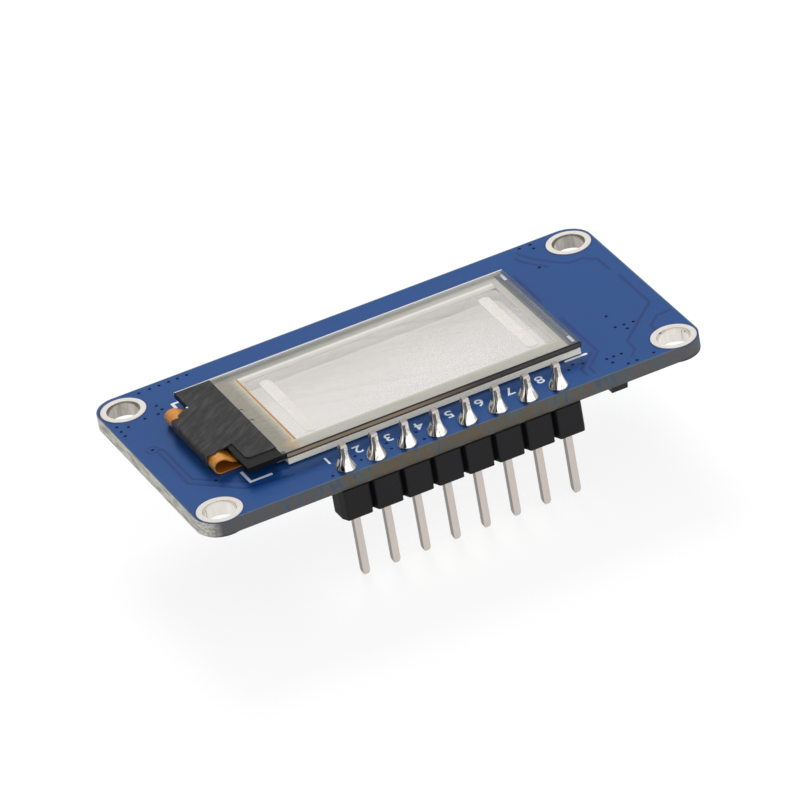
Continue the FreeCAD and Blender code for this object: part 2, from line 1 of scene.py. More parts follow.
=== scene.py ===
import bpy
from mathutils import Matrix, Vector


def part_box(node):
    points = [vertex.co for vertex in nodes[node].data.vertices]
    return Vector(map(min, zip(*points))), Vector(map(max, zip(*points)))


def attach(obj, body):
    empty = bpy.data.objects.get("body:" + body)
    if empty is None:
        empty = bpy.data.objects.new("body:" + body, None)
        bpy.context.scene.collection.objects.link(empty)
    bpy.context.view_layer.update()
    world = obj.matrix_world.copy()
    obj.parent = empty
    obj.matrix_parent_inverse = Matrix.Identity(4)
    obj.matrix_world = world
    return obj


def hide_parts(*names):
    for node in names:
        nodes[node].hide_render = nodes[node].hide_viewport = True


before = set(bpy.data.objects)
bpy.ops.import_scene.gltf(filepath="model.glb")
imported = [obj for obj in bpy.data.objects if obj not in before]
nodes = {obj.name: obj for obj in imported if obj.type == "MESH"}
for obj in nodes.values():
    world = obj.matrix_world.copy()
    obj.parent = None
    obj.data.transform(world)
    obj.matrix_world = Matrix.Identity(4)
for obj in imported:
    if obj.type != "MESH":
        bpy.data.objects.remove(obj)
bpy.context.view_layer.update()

import bpy
import numpy as np
from mathutils import Vector
from mathutils.geometry import tessellate_polygon

# Circuit board
# Woven glass and epoxy laminate, 1.2 mm thick, routed to shape with a cut-out under the panel.
# Blue solder mask is printed on both faces over the copper, and stops just short of the rim.

MM = 0.001


def box_of(node):
    """The lowest and the highest corner of a CAD node's box, in millimetres."""
    return [np.array(corner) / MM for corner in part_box(node)]


BOARD_LOW, BOARD_HIGH = box_of("circuit_board")
BOARD_TOP = BOARD_HIGH[2]
BOARD_CORNER = 2.0
CUT_OUT_CENTRE, CUT_OUT_HALF = (0.15, 0.3), (11.15, 5.75)
# The mask's pull-back, the reach of the painted highlight round the cut-out, and of its walls painted pale
# as if lit.
MASK_PULL_BACK, RIM_HIGHLIGHT_REACH, LIT_WALL_REACH = 0.09, 0.38, 0.1


def srgb(code):
    """The linear colour of an sRGB hex code: v / 12.92 up to 0.04045, else ((v + 0.055) / 1.055) ** 2.4."""
    value = np.array([int(code[at : at + 2], 16) for at in (1, 3, 5)]) / 255
    linear = np.where(value <= 0.04045, value / 12.92, ((value + 0.055) / 1.055) ** 2.4)
    return (*linear.tolist(), 1.0)


def add(tree, kind, inputs=None, stops=(), to=None, **settings):
    """A shader node with its settings, its ramp's stops and its links. An input is a link, a plain value
    or a colour's hex code, and the first output may go straight to another node's socket."""
    made = tree.nodes.new("ShaderNode" + kind)
    for key, value in settings.items():
        setattr(made, key, value)
    for at, (position, code) in enumerate(stops):
        elements = made.color_ramp.elements
        if not at:
            elements.remove(elements[1])
            elements[0].position = position
        (elements.new(position) if at else elements[0]).color = srgb(code)
    for key, value in (inputs or {}).items():
        if isinstance(value, bpy.types.Node):
            value = next(socket for socket in value.outputs if socket.enabled)
        if isinstance(value, bpy.types.NodeSocket):
            tree.links.new(value, made.inputs[key])
        else:
            made.inputs[key].default_value = srgb(value) if isinstance(value, str) else value
    if to:
        tree.links.new(made.outputs[0], to)
    return made


def new_finish(name):
    """A material's node tree, emptied, with the piece's own coordinates and the socket for its shader."""
    made = bpy.data.materials.new(name)
    made.use_nodes = True
    made.node_tree.nodes.clear()
    place = add(made.node_tree, "TexCoord").outputs["Object"]
    return made, made.node_tree, place, add(made.node_tree, "OutputMaterial").inputs["Surface"]


def mottled(tree, place, size_mm, one, two, detail=3):
    """Patches of a real size in millimetres, and the tint that they blend from two colours."""
    patches = add(tree, "TexNoise", {"Vector": place, "Scale": 1 / (size_mm * MM), "Detail": detail})
    return patches, add(tree, "Mix", {0: patches, 6: one, 7: two}, data_type="RGBA")


def beyond(tree, place, centre, half):
    """How far a point lies outside a box in plan: the length of max(|p - centre| - half, 0), in metres."""
    away = add(tree, "VectorMath", {0: place, 1: (*(c * MM for c in centre), 0)}, operation="SUBTRACT")
    size = add(tree, "VectorMath", {0: away}, operation="ABSOLUTE")
    over = add(tree, "VectorMath", {0: size, 1: (*(h * MM for h in half), 1)}, operation="SUBTRACT")
    kept = add(tree, "VectorMath", {0: over, 1: (0, 0, 0)}, operation="MAXIMUM")
    return add(tree, "VectorMath", {0: kept}, operation="LENGTH").outputs["Value"]


def dress(name, finish):
    """A CAD node's faces get a finish."""
    nodes[name].data.materials.clear()
    nodes[name].data.materials.append(finish)


# Solder mask is a glossy epoxy film: an even deep blue with a faint orange-peel. The laminate's sides
# carry painted light and shade: the routed ends are painted pale as if lit, with torn glass fibres, and
# the long edges are painted brown as shade, smeared with grey-blue and more so towards the ends. A thin
# bare rim shows. The cut-out's walls are painted near-white as if lit, and a wider band round the
# cut-out is painted white as a highlight.
board_finish, tree, place, surface = new_finish("solder_mask_on_laminate")
normal = add(tree, "SeparateXYZ", {0: add(tree, "NewGeometry").outputs["Normal"]})
upright = add(tree, "Math", {0: normal.outputs["Z"]}, operation="ABSOLUTE")
on_face = add(tree, "Math", {0: upright, 1: 0.5}, operation="GREATER_THAN")
# Painted light and shade: the end faces are painted pale as if lit, the long edges brown as shade.
lit_left_end = add(tree, "MapRange", {0: normal.outputs["X"], 1: -0.3, 2: -0.85})
lit_right_end = add(tree, "MapRange", {0: normal.outputs["X"], 1: 0.85, 2: 1.0})
board_half = (BOARD_HIGH - BOARD_LOW)[:2] / 2 - BOARD_CORNER
to_rim = beyond(tree, place, (BOARD_LOW + BOARD_HIGH)[:2] / 2, board_half)
rim_start = (BOARD_CORNER - MASK_PULL_BACK) * MM
bare_rim = add(tree, "Math", {0: to_rim, 1: rim_start}, operation="GREATER_THAN")
# The cut-out's walls are painted near-white as if lit, and the face round it white as a highlight.
to_cut_out = beyond(tree, place, CUT_OUT_CENTRE, CUT_OUT_HALF)
lit_wall_share = add(tree, "Math", {0: to_cut_out, 1: LIT_WALL_REACH * MM}, operation="LESS_THAN")
rim_highlight = add(tree, "Math", {0: to_cut_out, 1: RIM_HIGHLIGHT_REACH * MM}, operation="LESS_THAN")
fibre_way = add(tree, "Mapping", {"Vector": place, "Scale": (1, 1 / 9, 1 / 1.2)})
torn = add(tree, "TexNoise", {"Vector": fibre_way, "Scale": 1 / (0.16 * MM), "Detail": 3})
fibre_stops = [(0.3, "#9A978D"), (0.48, "#C4C2B9"), (0.6, "#E2E1DA"), (0.72, "#B0A798")]
fibres = add(tree, "ValToRGB", {0: torn}, stops=fibre_stops)
smear_way = add(tree, "Mapping", {"Vector": place, "Scale": (1 / 1.2, 1 / 1.6, 1 / 4)})
smear = add(tree, "TexNoise", {"Vector": smear_way, "Scale": 1 / (0.45 * MM), "Detail": 3})
smear_stops = [(0.3, "#3F4E62"), (0.42, "#525A5B"), (0.5, "#5A5447"), (0.6, "#665343"), (0.7, "#47574C")]
shaded_long_edge = add(tree, "ValToRGB", {0: smear}, stops=smear_stops)
along = add(tree, "Math", {0: add(tree, "SeparateXYZ", {0: place}).outputs["X"]}, operation="ABSOLUTE")
bluer = add(tree, "MapRange", {0: along, 1: 9 * MM, 2: 13 * MM, 4: 0.4})
shaded_long_edge = add(tree, "Mix", {0: bluer, 6: shaded_long_edge, 7: "#3F5266"}, data_type="RGBA")
lit_end_share = add(tree, "Math", {0: lit_left_end, 1: lit_right_end}, operation="MAXIMUM")
lit_side_share = add(tree, "Math", {0: lit_end_share, 1: lit_wall_share}, operation="MAXIMUM")
lit_cut_wall = add(tree, "Mix", {0: lit_wall_share, 6: fibres, 7: "#F6F5F1"}, data_type="RGBA")
side = add(tree, "Mix", {0: lit_side_share, 6: shaded_long_edge, 7: lit_cut_wall}, data_type="RGBA")
mask = mottled(tree, place, 3.0, "#0B417F", "#0E4787", detail=2)[1]
face = add(tree, "Mix", {0: bare_rim, 6: mask, 7: "#5E6E78"}, data_type="RGBA")
face = add(tree, "Mix", {0: rim_highlight, 6: face, 7: "#FBFAF7"}, data_type="RGBA")
tint = add(tree, "Mix", {0: on_face, 6: side, 7: face}, data_type="RGBA")
shiny = add(tree, "Math", {0: on_face, 1: bare_rim}, operation="SUBTRACT")
rough = add(tree, "MapRange", {0: shiny, 3: 0.75, 4: 0.3})
waves = add(tree, "TexNoise", {"Vector": place, "Scale": 1 / (0.5 * MM)})
peel = add(tree, "Bump", {"Height": waves, "Distance": 0.002 * MM, "Strength": 0.6})
gloss = {"Base Color": tint, "Roughness": rough, "IOR": 1.5, "Normal": peel}
add(tree, "BsdfPrincipled", gloss, to=surface)
dress("circuit_board", board_finish)

# Tracks and vias under the mask
# The copper is etched and the vias are drilled and plated before the mask is printed over them.
# The gaps beside the tracks show through it as thin darker lines, and each via as a dark dimple.

GAP_WIDTH, GAP_HEIGHT = 0.25, 0.006
VIA_RADIUS, VIA_PROUD = 0.13, 0.002
RINGED_VIA, RING = (-19.54, 2.18), (0.42, 0.55)
GAP_LINES = [
    [(-19.05, 1.95), (-18.85, 1.6), (-18.85, -3.6), (-15.6, -6.85), (-12.4, -6.85)],
    [(-19.35, 1.55), (-19.35, -3.95), (-16.15, -7.5), (-12.4, -8.1)],
    [(15.1, 10.3), (15.55, 9.0), (16.9, 7.0), (17.7, 6.2), (18.8, 6.2), (19.7, 5.3), (19.7, 3.2)],
    [(14.6, 9.7), (14.9, 8.7), (16.2, 6.7)],
    [(13.4, 7.3), (13.4, 2.4)],
    [(19.9, 2.0), (19.9, -3.2), (18.2, -4.9), (15.9, -7.3), (15.9, -8.7), (15.2, -9.5)],
    [(13.5, -0.8), (13.5, -7.2), (11.9, -8.9), (11.9, -9.9)],
    [(13.1, -6.9), (11.3, -8.75), (11.3, -9.9)],
    [(20.7, -5.3), (19.5, -5.3), (18.4, -6.4), (18.4, -8.0)],
]
VIAS = [
    (-12.97, 10.57), (-13.75, 10.57), (-14.5, 10.56), (-15.31, 10.56), (-16.1, 10.55), (-17.02, 10.54),
    (-16.69, 7.94), (-16.54, 7.19), (-17.06, 6.73), (-18.17, 6.77), (-20.4, 7.03), (-19.66, 6.48),
    (-20.4, 6.19), (-20.4, 5.43), (-19.54, 2.18), (-17.49, -5.01), (-10.21, -10.2), (-7.55, -9.55),
    (-7.69, -8.76), (-5.03, -9.58), (-5.01, -8.64), (-2.49, -9.96), (-2.55, -8.67), (15.55, 7.11),
    (16.32, -2.93), (17.6, -5.0), (16.85, -4.92), (16.78, -5.61), (16.13, -4.85), (14.74, -8.64),
    (14.1, -8.62), (13.52, -8.62), (13.64, -9.37), (16.76, -10.11), (15.26, -10.27), (14.51, -10.3),
    (11.11, -7.65), (10.52, -8.18), (11.8, -8.03), (16.52, 10.72), (15.6, 10.74), (16.5, 10.04),
]
ON_FACES = [(BOARD_TOP, BOARD_TOP + GAP_HEIGHT), (-GAP_HEIGHT, 0.0)]


def plain_finish(name, size_mm, one, two, gloss, dents=None, stretch=None, detail=3):
    """A finish of two tints in patches of a real size, which may be stretched. Dents are the depth in
    millimetres and the strength of the same patches pressed into the surface."""
    made, tree, place, surface = new_finish(name)
    if stretch:
        place = add(tree, "Mapping", {"Vector": place, "Scale": stretch})
    patches, tint = mottled(tree, place, size_mm, one, two, detail)
    inputs = {"Base Color": tint, **gloss}
    if dents:
        dented = {"Height": patches, "Distance": dents[0] * MM, "Strength": dents[1]}
        inputs["Normal"] = add(tree, "Bump", dented)
    add(tree, "BsdfPrincipled", inputs, to=surface)
    return made


def arc(start, end, steps):
    """Unit vectors at even angles, both ends counted, as rows of cos, sin."""
    turn = np.radians(np.linspace(start, end, steps))
    return np.stack([np.cos(turn), np.sin(turn)], 1)


def inset(outline, depth):
    """Each corner moved in by depth from both sides: along n1 + n2, divided by 1 + n1 . n2."""
    ahead = np.roll(outline, -1, 0) - outline
    ahead /= np.linalg.norm(ahead, axis=1)[:, None]
    inward = np.stack([-ahead[:, 1], ahead[:, 0]], 1)
    before = np.roll(inward, 1, 0)
    return outline + depth * (inward + before) / (1 + (inward * before).sum(1))[:, None]


def skin(rings, joined=False):
    """A skin over rings of points: (i, j), (i, j+1), (i+1, j+1), (i+1, j). Flat ends, or a closed loop."""
    rings = np.asarray(rings, float)
    index = np.arange(rings.shape[0] * rings.shape[1]).reshape(rings.shape[:2])
    above = np.roll(index, -1, 0)
    quads = np.stack([index, np.roll(index, -1, 1), np.roll(above, -1, 1), above], -1)
    quads = quads if joined else quads[:-1]
    ends = [] if joined else [index[0, ::-1].tolist(), index[-1].tolist()]
    return rings.reshape(-1, 3), quads.reshape(-1, 4).tolist() + ends


def carried(outline, profile):
    """An outline carried up a profile of (inset, z) pairs."""
    flat = [inset(outline, depth) if depth else outline for depth, _ in profile]
    heights = [np.full((len(outline), 1), z) for _, z in profile]
    return skin([np.hstack(pair) for pair in zip(flat, heights)])


def plate(outline, low, high, edge=0.0, steps=2):
    """A plate whose edges are quarter circles of radius r: inset r (1 - sin a), height r (1 - cos a)."""
    if not edge:
        return carried(outline, [(0, low), (0, high)])
    rise = [(edge * deep, low + edge * up) for deep, up in 1 - arc(0, 90, steps + 1)[:, ::-1]]
    return carried(outline, rise + [(deep, high + low - z) for deep, z in rise[::-1]])


def turned(profile, centre=(0, 0), steps=48, joined=False):
    """A profile of (r, z) pairs turned about an upright axis: (x + r cos a, y + r sin a, z)."""
    circle = arc(0, 360 * (1 - 1 / steps), steps)
    profile = np.asarray(profile, float)
    flat = np.array(centre) + profile[:, None, :1] * circle[None]
    heights = np.broadcast_to(profile[:, None, 1:], (*flat.shape[:2], 1))
    return skin(np.concatenate([flat, heights], 2), joined)


def flat_rings(inner, outer, centre, steps):
    """A flat ring between two radii on each face of the board: a square section turned."""
    sections = [[(inner, low), (outer, low), (outer, high), (inner, high)] for low, high in ON_FACES]
    return [turned(section, centre, steps, joined=True) for section in sections]


def line_outline(points, width):
    """The outline of a line of even width: half a width to both sides along each point's mitre."""
    points = np.array(points, float)
    ahead = np.diff(points, axis=0)
    ahead /= np.linalg.norm(ahead, axis=1)[:, None]
    side = np.stack([-ahead[:, 1], ahead[:, 0]], 1)
    before, after = np.vstack([side[:1], side]), np.vstack([side, side[-1:]])
    out = width / 2 * (before + after) / (1 + (before * after).sum(1))[:, None]
    return np.vstack([points - out, (points + out)[::-1]])


def piece(name, shapes, replaced=(), smooth=None):
    """One object from (shape, finish) pairs in millimetres, shaded smooth across edges under an angle."""
    points, faces, which, finishes = [], [], [], []
    for (corners, polygons), finish in shapes:
        base = sum(len(part) for part in points)
        points.append(corners)
        faces += [[base + corner for corner in polygon] for polygon in polygons]
        if finish not in finishes:
            finishes.append(finish)
        which += [finishes.index(finish)] * len(polygons)
    mesh = bpy.data.meshes.new(name)
    mesh.from_pydata((np.concatenate(points) * MM).tolist(), [], faces)
    for finish in finishes:
        mesh.materials.append(finish)
    mesh.polygons.foreach_set("material_index", which)
    if smooth:
        mesh.shade_smooth()
        mesh.set_sharp_from_angle(angle=np.radians(smooth))
    mesh.update()
    made = bpy.data.objects.new(name, mesh)
    bpy.context.scene.collection.objects.link(made)
    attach(made, "root")
    if replaced:
        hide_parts(*replaced)
    return made


# The gap beside a track is bare laminate under mask: a shade darker than the mask over copper.
gap_gloss = {"Roughness": 0.32, "IOR": 1.5}
gap_finish = plain_finish("mask_over_etched_gap", 1.2, "#0E2F6C", "#133775", gap_gloss, detail=2)
gaps = [plate(line_outline(line, GAP_WIDTH), *heights) for line in GAP_LINES for heights in ON_FACES]
gaps += flat_rings(*RING, RINGED_VIA, 32)
piece("etched_gaps", [(gap, gap_finish) for gap in gaps])

# A tented via is a pit that the mask has sunk into, nearly black at its middle.
via_gloss = {"Roughness": 0.6, "IOR": 1.5, "Specular IOR Level": 0.15}
via_finish = plain_finish("tented_via", 0.2, "#030B22", "#071433", via_gloss, detail=2)
dimples = [
    turned([(VIA_RADIUS, low), (VIA_RADIUS, high + VIA_PROUD)], via, 16)
    for via in VIAS
    for low, high in ON_FACES
]
piece("vias", [(dimple, via_finish) for dimple in dimples])

# White print
# Corner marks and plain pin numbers in white epoxy ink, screen-printed on the mask and baked. The
# numbers are turned to be read from the rear.

INK_WIDTH, INK_HEIGHT = 0.24, 0.014
DIGIT_SIZE, DIGIT_BOLDER, DIGIT_SHIFT, DIGIT_Y = 1.45, 0.014, 0.75, -7.95
PIN_PITCH, PIN_COUNT = 2.54, 8
PIN_X = PIN_PITCH * (np.arange(PIN_COUNT) - (PIN_COUNT - 1) / 2)
CORNER_MARKS = [
    [(-15.48, -5.16), (-15.48, -6.91), (-13.69, -6.91)],
    [(-15.0, 7.32), (-15.62, 7.32), (-15.62, 6.56)],
    [(10.81, -6.89), (12.7, -6.89)],
]

# Screen-printed ink: cold white, satin, with the mesh's faint grain.
ink_gloss = {"Roughness": 0.5, "IOR": 1.5}
ink_finish = plain_finish("white_screen_ink", 0.12, "#DCE8F6", "#EEF4FB", ink_gloss, dents=(0.004, 0.5))
marks = [plate(line_outline(line, INK_WIDTH), BOARD_TOP, BOARD_TOP + INK_HEIGHT) for line in CORNER_MARKS]
piece("corner_marks", [(mark, ink_finish) for mark in marks])


def printed_digit(digit, x, y):
    """A digit as a thin raised shape, turned to be read from the rear, its place in its mesh."""
    curve = bpy.data.curves.new(f"digit_{digit}", "FONT")
    curve.body = str(digit)
    curve.size = DIGIT_SIZE * MM
    curve.extrude = INK_HEIGHT / 2 * MM
    curve.offset = DIGIT_BOLDER * MM
    curve.align_x, curve.align_y = "CENTER", "CENTER"
    drawn = bpy.data.objects.new(f"digit_{digit}", curve)
    bpy.context.scene.collection.objects.link(drawn)
    bpy.context.view_layer.update()
    mesh = bpy.data.meshes.new_from_object(drawn)
    bpy.data.objects.remove(drawn)
    corners = np.empty(len(mesh.vertices) * 3)
    mesh.vertices.foreach_get("co", corners)
    corners = corners.reshape(-1, 3) / MM * (-1, -1, 1) + (x, y, BOARD_TOP + INK_HEIGHT / 2)
    return corners, [list(polygon.vertices) for polygon in mesh.polygons]


for number, x in enumerate(PIN_X, start=1):
    digit = printed_digit(number, x - DIGIT_SHIFT, DIGIT_Y)
    piece(f"pin_number_{number}", [(digit, ink_finish)])

# Plated mounting holes
# Copper rings and barrels that line the four screw holes, coated with bright silver-coloured
# plating. The rim is rounded over into the bore, and a thin ring of bare laminate surrounds it.

RIM_RADIUS, BORE_RADIUS, HOLE_RADIUS = 1.775, 1.3, 1.4
RIM_THICKNESS, RIM_ROUND, BORE_ROUND = 0.05, 0.03, 0.06
MASK_CLEARANCE, HOLE_STEPS = 0.12, 72
HOLE_PLACES = [(-19, -9), (19, -9), (19, 9), (-19, 9)]

# Hot-levelled plating is a soft cream-white metal: bright, but not quite a mirror.
plating_finish, tree, place, surface = new_finish("levelled_silver_plating")
cloud, tint = mottled(tree, place, 0.5, "#E9E3DB", "#F3EEE8")
dent = add(tree, "Bump", {"Height": cloud, "Distance": 0.01 * MM, "Strength": 0.5})
rough = add(tree, "MapRange", {0: cloud, 3: 0.3, 4: 0.45})
gloss = {"Base Color": tint, "Metallic": 0.35, "Roughness": rough, "Normal": dent}
add(tree, "BsdfPrincipled", gloss, to=surface)

# Inside the bore the same plating is smoother, so it mirrors the far wall and looks greyer. The
# rear pair is darker and patchier than the front pair.
bore_finish, tree, place, surface = new_finish("bright_bore_plating")
drawn_way = add(tree, "Mapping", {"Vector": place, "Scale": (1, 1, 1 / 6)})
cloud, bright = mottled(tree, drawn_way, 0.5, "#D8D3CB", "#F0ECE6", detail=2)
darker_rear_tint = add(tree, "Mix", {0: cloud, 6: "#6F6A64", 7: "#CFC9C1"}, data_type="RGBA")
rearwards = add(tree, "SeparateXYZ", {0: place}).outputs["Y"]
at_rear = add(tree, "Math", {0: rearwards, 1: 0.0}, operation="GREATER_THAN")
tint = add(tree, "Mix", {0: at_rear, 6: bright, 7: darker_rear_tint}, data_type="RGBA")
dent = add(tree, "Bump", {"Height": cloud, "Distance": 0.03 * MM, "Strength": 0.6})
gloss = {"Base Color": tint, "Metallic": 1.0, "Roughness": 0.13, "Normal": dent}
add(tree, "BsdfPrincipled", gloss, to=surface)


def eyelet_profile():
    """The ring's section, counter-clockwise in (r, z): flange, barrel, flange, with rounded rims."""
    top, bottom = BOARD_TOP + RIM_THICKNESS, -RIM_THICKNESS
    rim, bore = RIM_RADIUS - RIM_ROUND, BORE_RADIUS + BORE_ROUND
    lower_bore = (bore, bottom + BORE_ROUND) + BORE_ROUND * arc(180, 270, 6)
    lower_rim = (rim, bottom + RIM_ROUND) + RIM_ROUND * arc(270, 360, 4)
    barrel = [(RIM_RADIUS, 0), (HOLE_RADIUS, 0), (HOLE_RADIUS, BOARD_TOP), (RIM_RADIUS, BOARD_TOP)]
    upper_rim = (rim, top - RIM_ROUND) + RIM_ROUND * arc(0, 90, 4)
    upper_bore = (bore, top - BORE_ROUND) + BORE_ROUND * arc(90, 180, 6)
    return np.vstack([lower_bore, lower_rim, barrel, upper_rim, upper_bore])


def finish_sides(made, side_finish, slant_finish, count=None):
    """Of the first faces, upright ones, |n_z| < 0.2, get one finish, and slanting ones, < 0.9, another."""
    for other in (side_finish, slant_finish):
        made.data.materials.append(other)
    normals = np.empty(len(made.data.polygons) * 3)
    made.data.polygons.foreach_get("normal", normals)
    upward = np.abs(normals.reshape(-1, 3)[:, 2])
    which = np.where(upward < 0.2, 1, np.where(upward < 0.9, 2, 0))
    which[count or len(which) :] = 0
    made.data.polygons.foreach_set("material_index", which.astype(np.int32))


clearance = [
    (ring, gap_finish)
    for centre in HOLE_PLACES
    for ring in flat_rings(RIM_RADIUS, RIM_RADIUS + MASK_CLEARANCE, centre, HOLE_STEPS)
]
piece("mask_clearance", clearance)
for number, centre in enumerate(HOLE_PLACES, start=1):
    ring = [(turned(eyelet_profile(), centre, HOLE_STEPS, joined=True), plating_finish)]
    node = f"mounting_eyelet_{number}"
    plated = piece(f"plated_ring_{number}", ring, [node], smooth=35)
    finish_sides(plated, bore_finish, plating_finish)

# Regulator
# A five-lead voltage regulator on the underside, moulded in black epoxy. Its tinned leads come out
# of the flanks, bend in an s and are reflowed on tinned pads.

REGULATOR_CENTRE, REGULATOR_HALF = np.array((13.7, -8.4)), np.array((0.725, 1.45))
REGULATOR_CORNER = 0.06
REGULATOR_PROFILE = [(0.1, -1.1), (0.06, -1.08), (0.0, -0.62), (0.05, -0.12), (0.07, -0.1)]
LEAD_WIDTH, LEAD_THICKNESS = 0.4, 0.15
LEAD_EXIT_Z, LEAD_FOOT_Z = -0.66, -0.095
LEAD_ROWS = {-1: (-0.95, 0.0, 0.95), 1: (-0.95, 0.95)}
LEAD_PAD_X, LEAD_PAD_HALF, LEAD_PAD_CORNER = 1.25, (0.35, 0.27), 0.08
PAD_HEIGHT, PAD_EDGE = 0.02, 0.01

# Moulding compound: near-black, matt, with a fine stony grain.
epoxy_gloss = {"Roughness": 0.55, "IOR": 1.55, "Specular IOR Level": 0.3}
epoxy_finish = plain_finish(
    "moulded_black_epoxy", 0.06, "#0F0F11", "#19191B", epoxy_gloss, dents=(0.01, 0.5), detail=4
)

# Matt tin over brass: a warm light grey metal with fine drawing marks along the pin. The two sides
# where the pins were sheared from their strip are painted duller and darker: partly the sheared
# metal, partly painted shade for the shaded floor that these sides mirror.
tin_finish, tree, place, surface = new_finish("tinned_brass")
drawn_way = add(tree, "Mapping", {"Vector": place, "Scale": (1, 1, 1 / 30)})
drawn, tint = mottled(tree, drawn_way, 0.05, "#C8BFB8", "#D8D0C9")
normal = add(tree, "SeparateXYZ", {0: add(tree, "NewGeometry").outputs["Normal"]})
sideways = add(tree, "Math", {0: normal.outputs["X"]}, operation="ABSOLUTE")
sheared_and_shaded = add(tree, "MapRange", {0: sideways, 1: 0.5, 2: 0.9})
tint = add(tree, "Mix", {0: sheared_and_shaded, 6: tint, 7: "#8F8883"}, data_type="RGBA")
marks = add(tree, "Bump", {"Height": drawn, "Distance": 0.004 * MM, "Strength": 0.5})
rough = add(tree, "MapRange", {0: drawn, 3: 0.3, 4: 0.45})
gloss = {"Base Color": tint, "Metallic": 0.85, "Roughness": rough, "Normal": marks}
add(tree, "BsdfPrincipled", gloss, to=surface)


def rounded_box(low, high, radius, steps=6):
    """A counter-clockwise box outline whose corners are quarter circles round the four inner centres."""
    low, high = np.array(low, float), np.array(high, float)
    if not radius:
        return np.array([low, (high[0], low[1]), high, (low[0], high[1])])
    inner = rounded_box(low + radius, high - radius, 0)
    starts = (180, 270, 0, 90)
    return np.concatenate([c + radius * arc(a, a + 90, steps) for c, a in zip(inner, starts)])


def block(low, high, corner=0.0, corner_steps=6, edge=0.0, edge_steps=2):
    """A box between two corners, its upright corners and its level edges rounded by quarter circles."""
    return plate(rounded_box(low[:2], high[:2], corner, corner_steps), low[2], high[2], edge, edge_steps)


def strap(path, thickness, front, rear):
    """A flat strip: half its thickness to each side of a path in (x, z), drawn from front to rear."""
    path = np.array(path, float)
    ahead = np.gradient(path, axis=0)
    ahead /= np.linalg.norm(ahead, axis=1)[:, None]
    out = thickness / 2 * np.stack([-ahead[:, 1], ahead[:, 0]], 1)
    upper, lower = path + out, path - out
    ring = [(lower, front), (lower, rear), (upper, rear), (upper, front)]
    corners = [np.stack([line[:, 0], np.full(len(line), y), line[:, 1]], 1) for line, y in ring]
    return skin(np.stack(corners, 1))


def lead_path(side):
    """From the body's flank out, then down in an s-shaped bend, t t (3 - 2 t), to a foot on its pad."""
    share = np.linspace(0, 1, 9)
    bend = share * share * (3 - 2 * share)
    out = np.concatenate([[0.70, 0.78], 0.84 + 0.2 * share, [1.12, 1.4]])
    high = LEAD_EXIT_Z + (LEAD_FOOT_Z - LEAD_EXIT_Z) * np.concatenate([[0, 0], bend, [1, 1]])
    return np.stack([REGULATOR_CENTRE[0] + side * out, high], 1)


low, high = REGULATOR_CENTRE - REGULATOR_HALF, REGULATOR_CENTRE + REGULATOR_HALF
regulator = carried(rounded_box(low, high, REGULATOR_CORNER, 3), REGULATOR_PROFILE)
piece("regulator", [(regulator, epoxy_finish)], ["regulator_body"])

leads = [(side, row) for side, rows in LEAD_ROWS.items() for row in rows]
pads = []
for number, (side, row) in enumerate(leads, start=1):
    y = REGULATOR_CENTRE[1] + row
    lead = [(strap(lead_path(side), LEAD_THICKNESS, y - LEAD_WIDTH / 2, y + LEAD_WIDTH / 2), tin_finish)]
    piece(f"gull_lead_{number}", lead, [f"regulator_lead_{number}"], smooth=40)
    middle = np.array((REGULATOR_CENTRE[0] + side * LEAD_PAD_X, y))
    low, high = middle - LEAD_PAD_HALF, middle + LEAD_PAD_HALF
    pads.append(block((*low, -PAD_HEIGHT), (*high, 0.0), LEAD_PAD_CORNER, 3, PAD_EDGE))

# Chip capacitors and resistors
# Ceramic blocks with a cap of tinned metal round each end, reflowed on tinned pads. The capacitors
# are bare tan ceramic, and the resistors have a black glass overcoat.

CAP_LENGTH, CAP_CORNER, CAP_EDGE = 0.35, 0.07, 0.06
BLOCK_END_DROP, BLOCK_CORNER, BLOCK_EDGE = 0.03, 0.03, 0.02
PAD_PAST_CAP, CHIP_PAD_CORNER = np.array((0.14, 0.06)), 0.1

# Fired ceramic dielectric: warm tan, satin, slightly mottled.
tan_gloss = {"Roughness": 0.45, "IOR": 1.6}
tan_finish = plain_finish("fired_tan_ceramic", 0.15, "#A8875F", "#BC9B73", tan_gloss)

# Glazed resistor face: black glass overcoat, glossier than the regulator.
glaze_gloss = {"Roughness": 0.25, "IOR": 1.5}
glaze_finish = plain_finish("black_glass_overcoat", 0.2, "#121214", "#1E1E20", glaze_gloss)


def chip_part(node, body_finish, body_drop):
    """A block with two end caps, taken from its CAD node's box. It stays below its caps by body_drop."""
    low, high = box_of(node)
    below = (BLOCK_END_DROP, body_drop, body_drop)
    shapes = [(block(low + below, high - below, BLOCK_CORNER, 3, BLOCK_EDGE), body_finish)]
    for start in (low[0], high[0] - CAP_LENGTH):
        cap_low, cap_high = (start, *low[1:]), (start + CAP_LENGTH, *high[1:])
        shapes.append((block(cap_low, cap_high, CAP_CORNER, 4, CAP_EDGE, 3), tin_finish))
        pad_low, pad_high = cap_low[:2] - PAD_PAST_CAP, cap_high[:2] + PAD_PAST_CAP
        pads.append(block((*pad_low, -PAD_HEIGHT), (*pad_high, 0.0), CHIP_PAD_CORNER, 3, PAD_EDGE))
    piece(f"chip_{node}", shapes, [node], smooth=40)


CHIPS = [
    ("capacitor", 6, "tan_ceramic", tan_finish, 0.035),
    ("resistor", 5, "black_ceramic", glaze_finish, 0.03),
]
for kind, count, slot, body_finish, body_drop in CHIPS:
    for number in range(1, count + 1):
        chip_part(f"{kind}_{number}", body_finish, body_drop)
piece("tinned_pads", [(pad, plating_finish) for pad in pads])

# Moulded pin strip
# Eight cells of glass-filled black nylon in a row, moulded in a long bar and snapped off. The strip
# stands against the underside and holds the pins.

HOUSING_LOW, HOUSING_HIGH = box_of("pin_housing")
HOUSING_EDGE = 0.05
CELL_CORNER = np.array([(0.03, 0.60), (0.24, 0.07), (0.34, 0.0)])
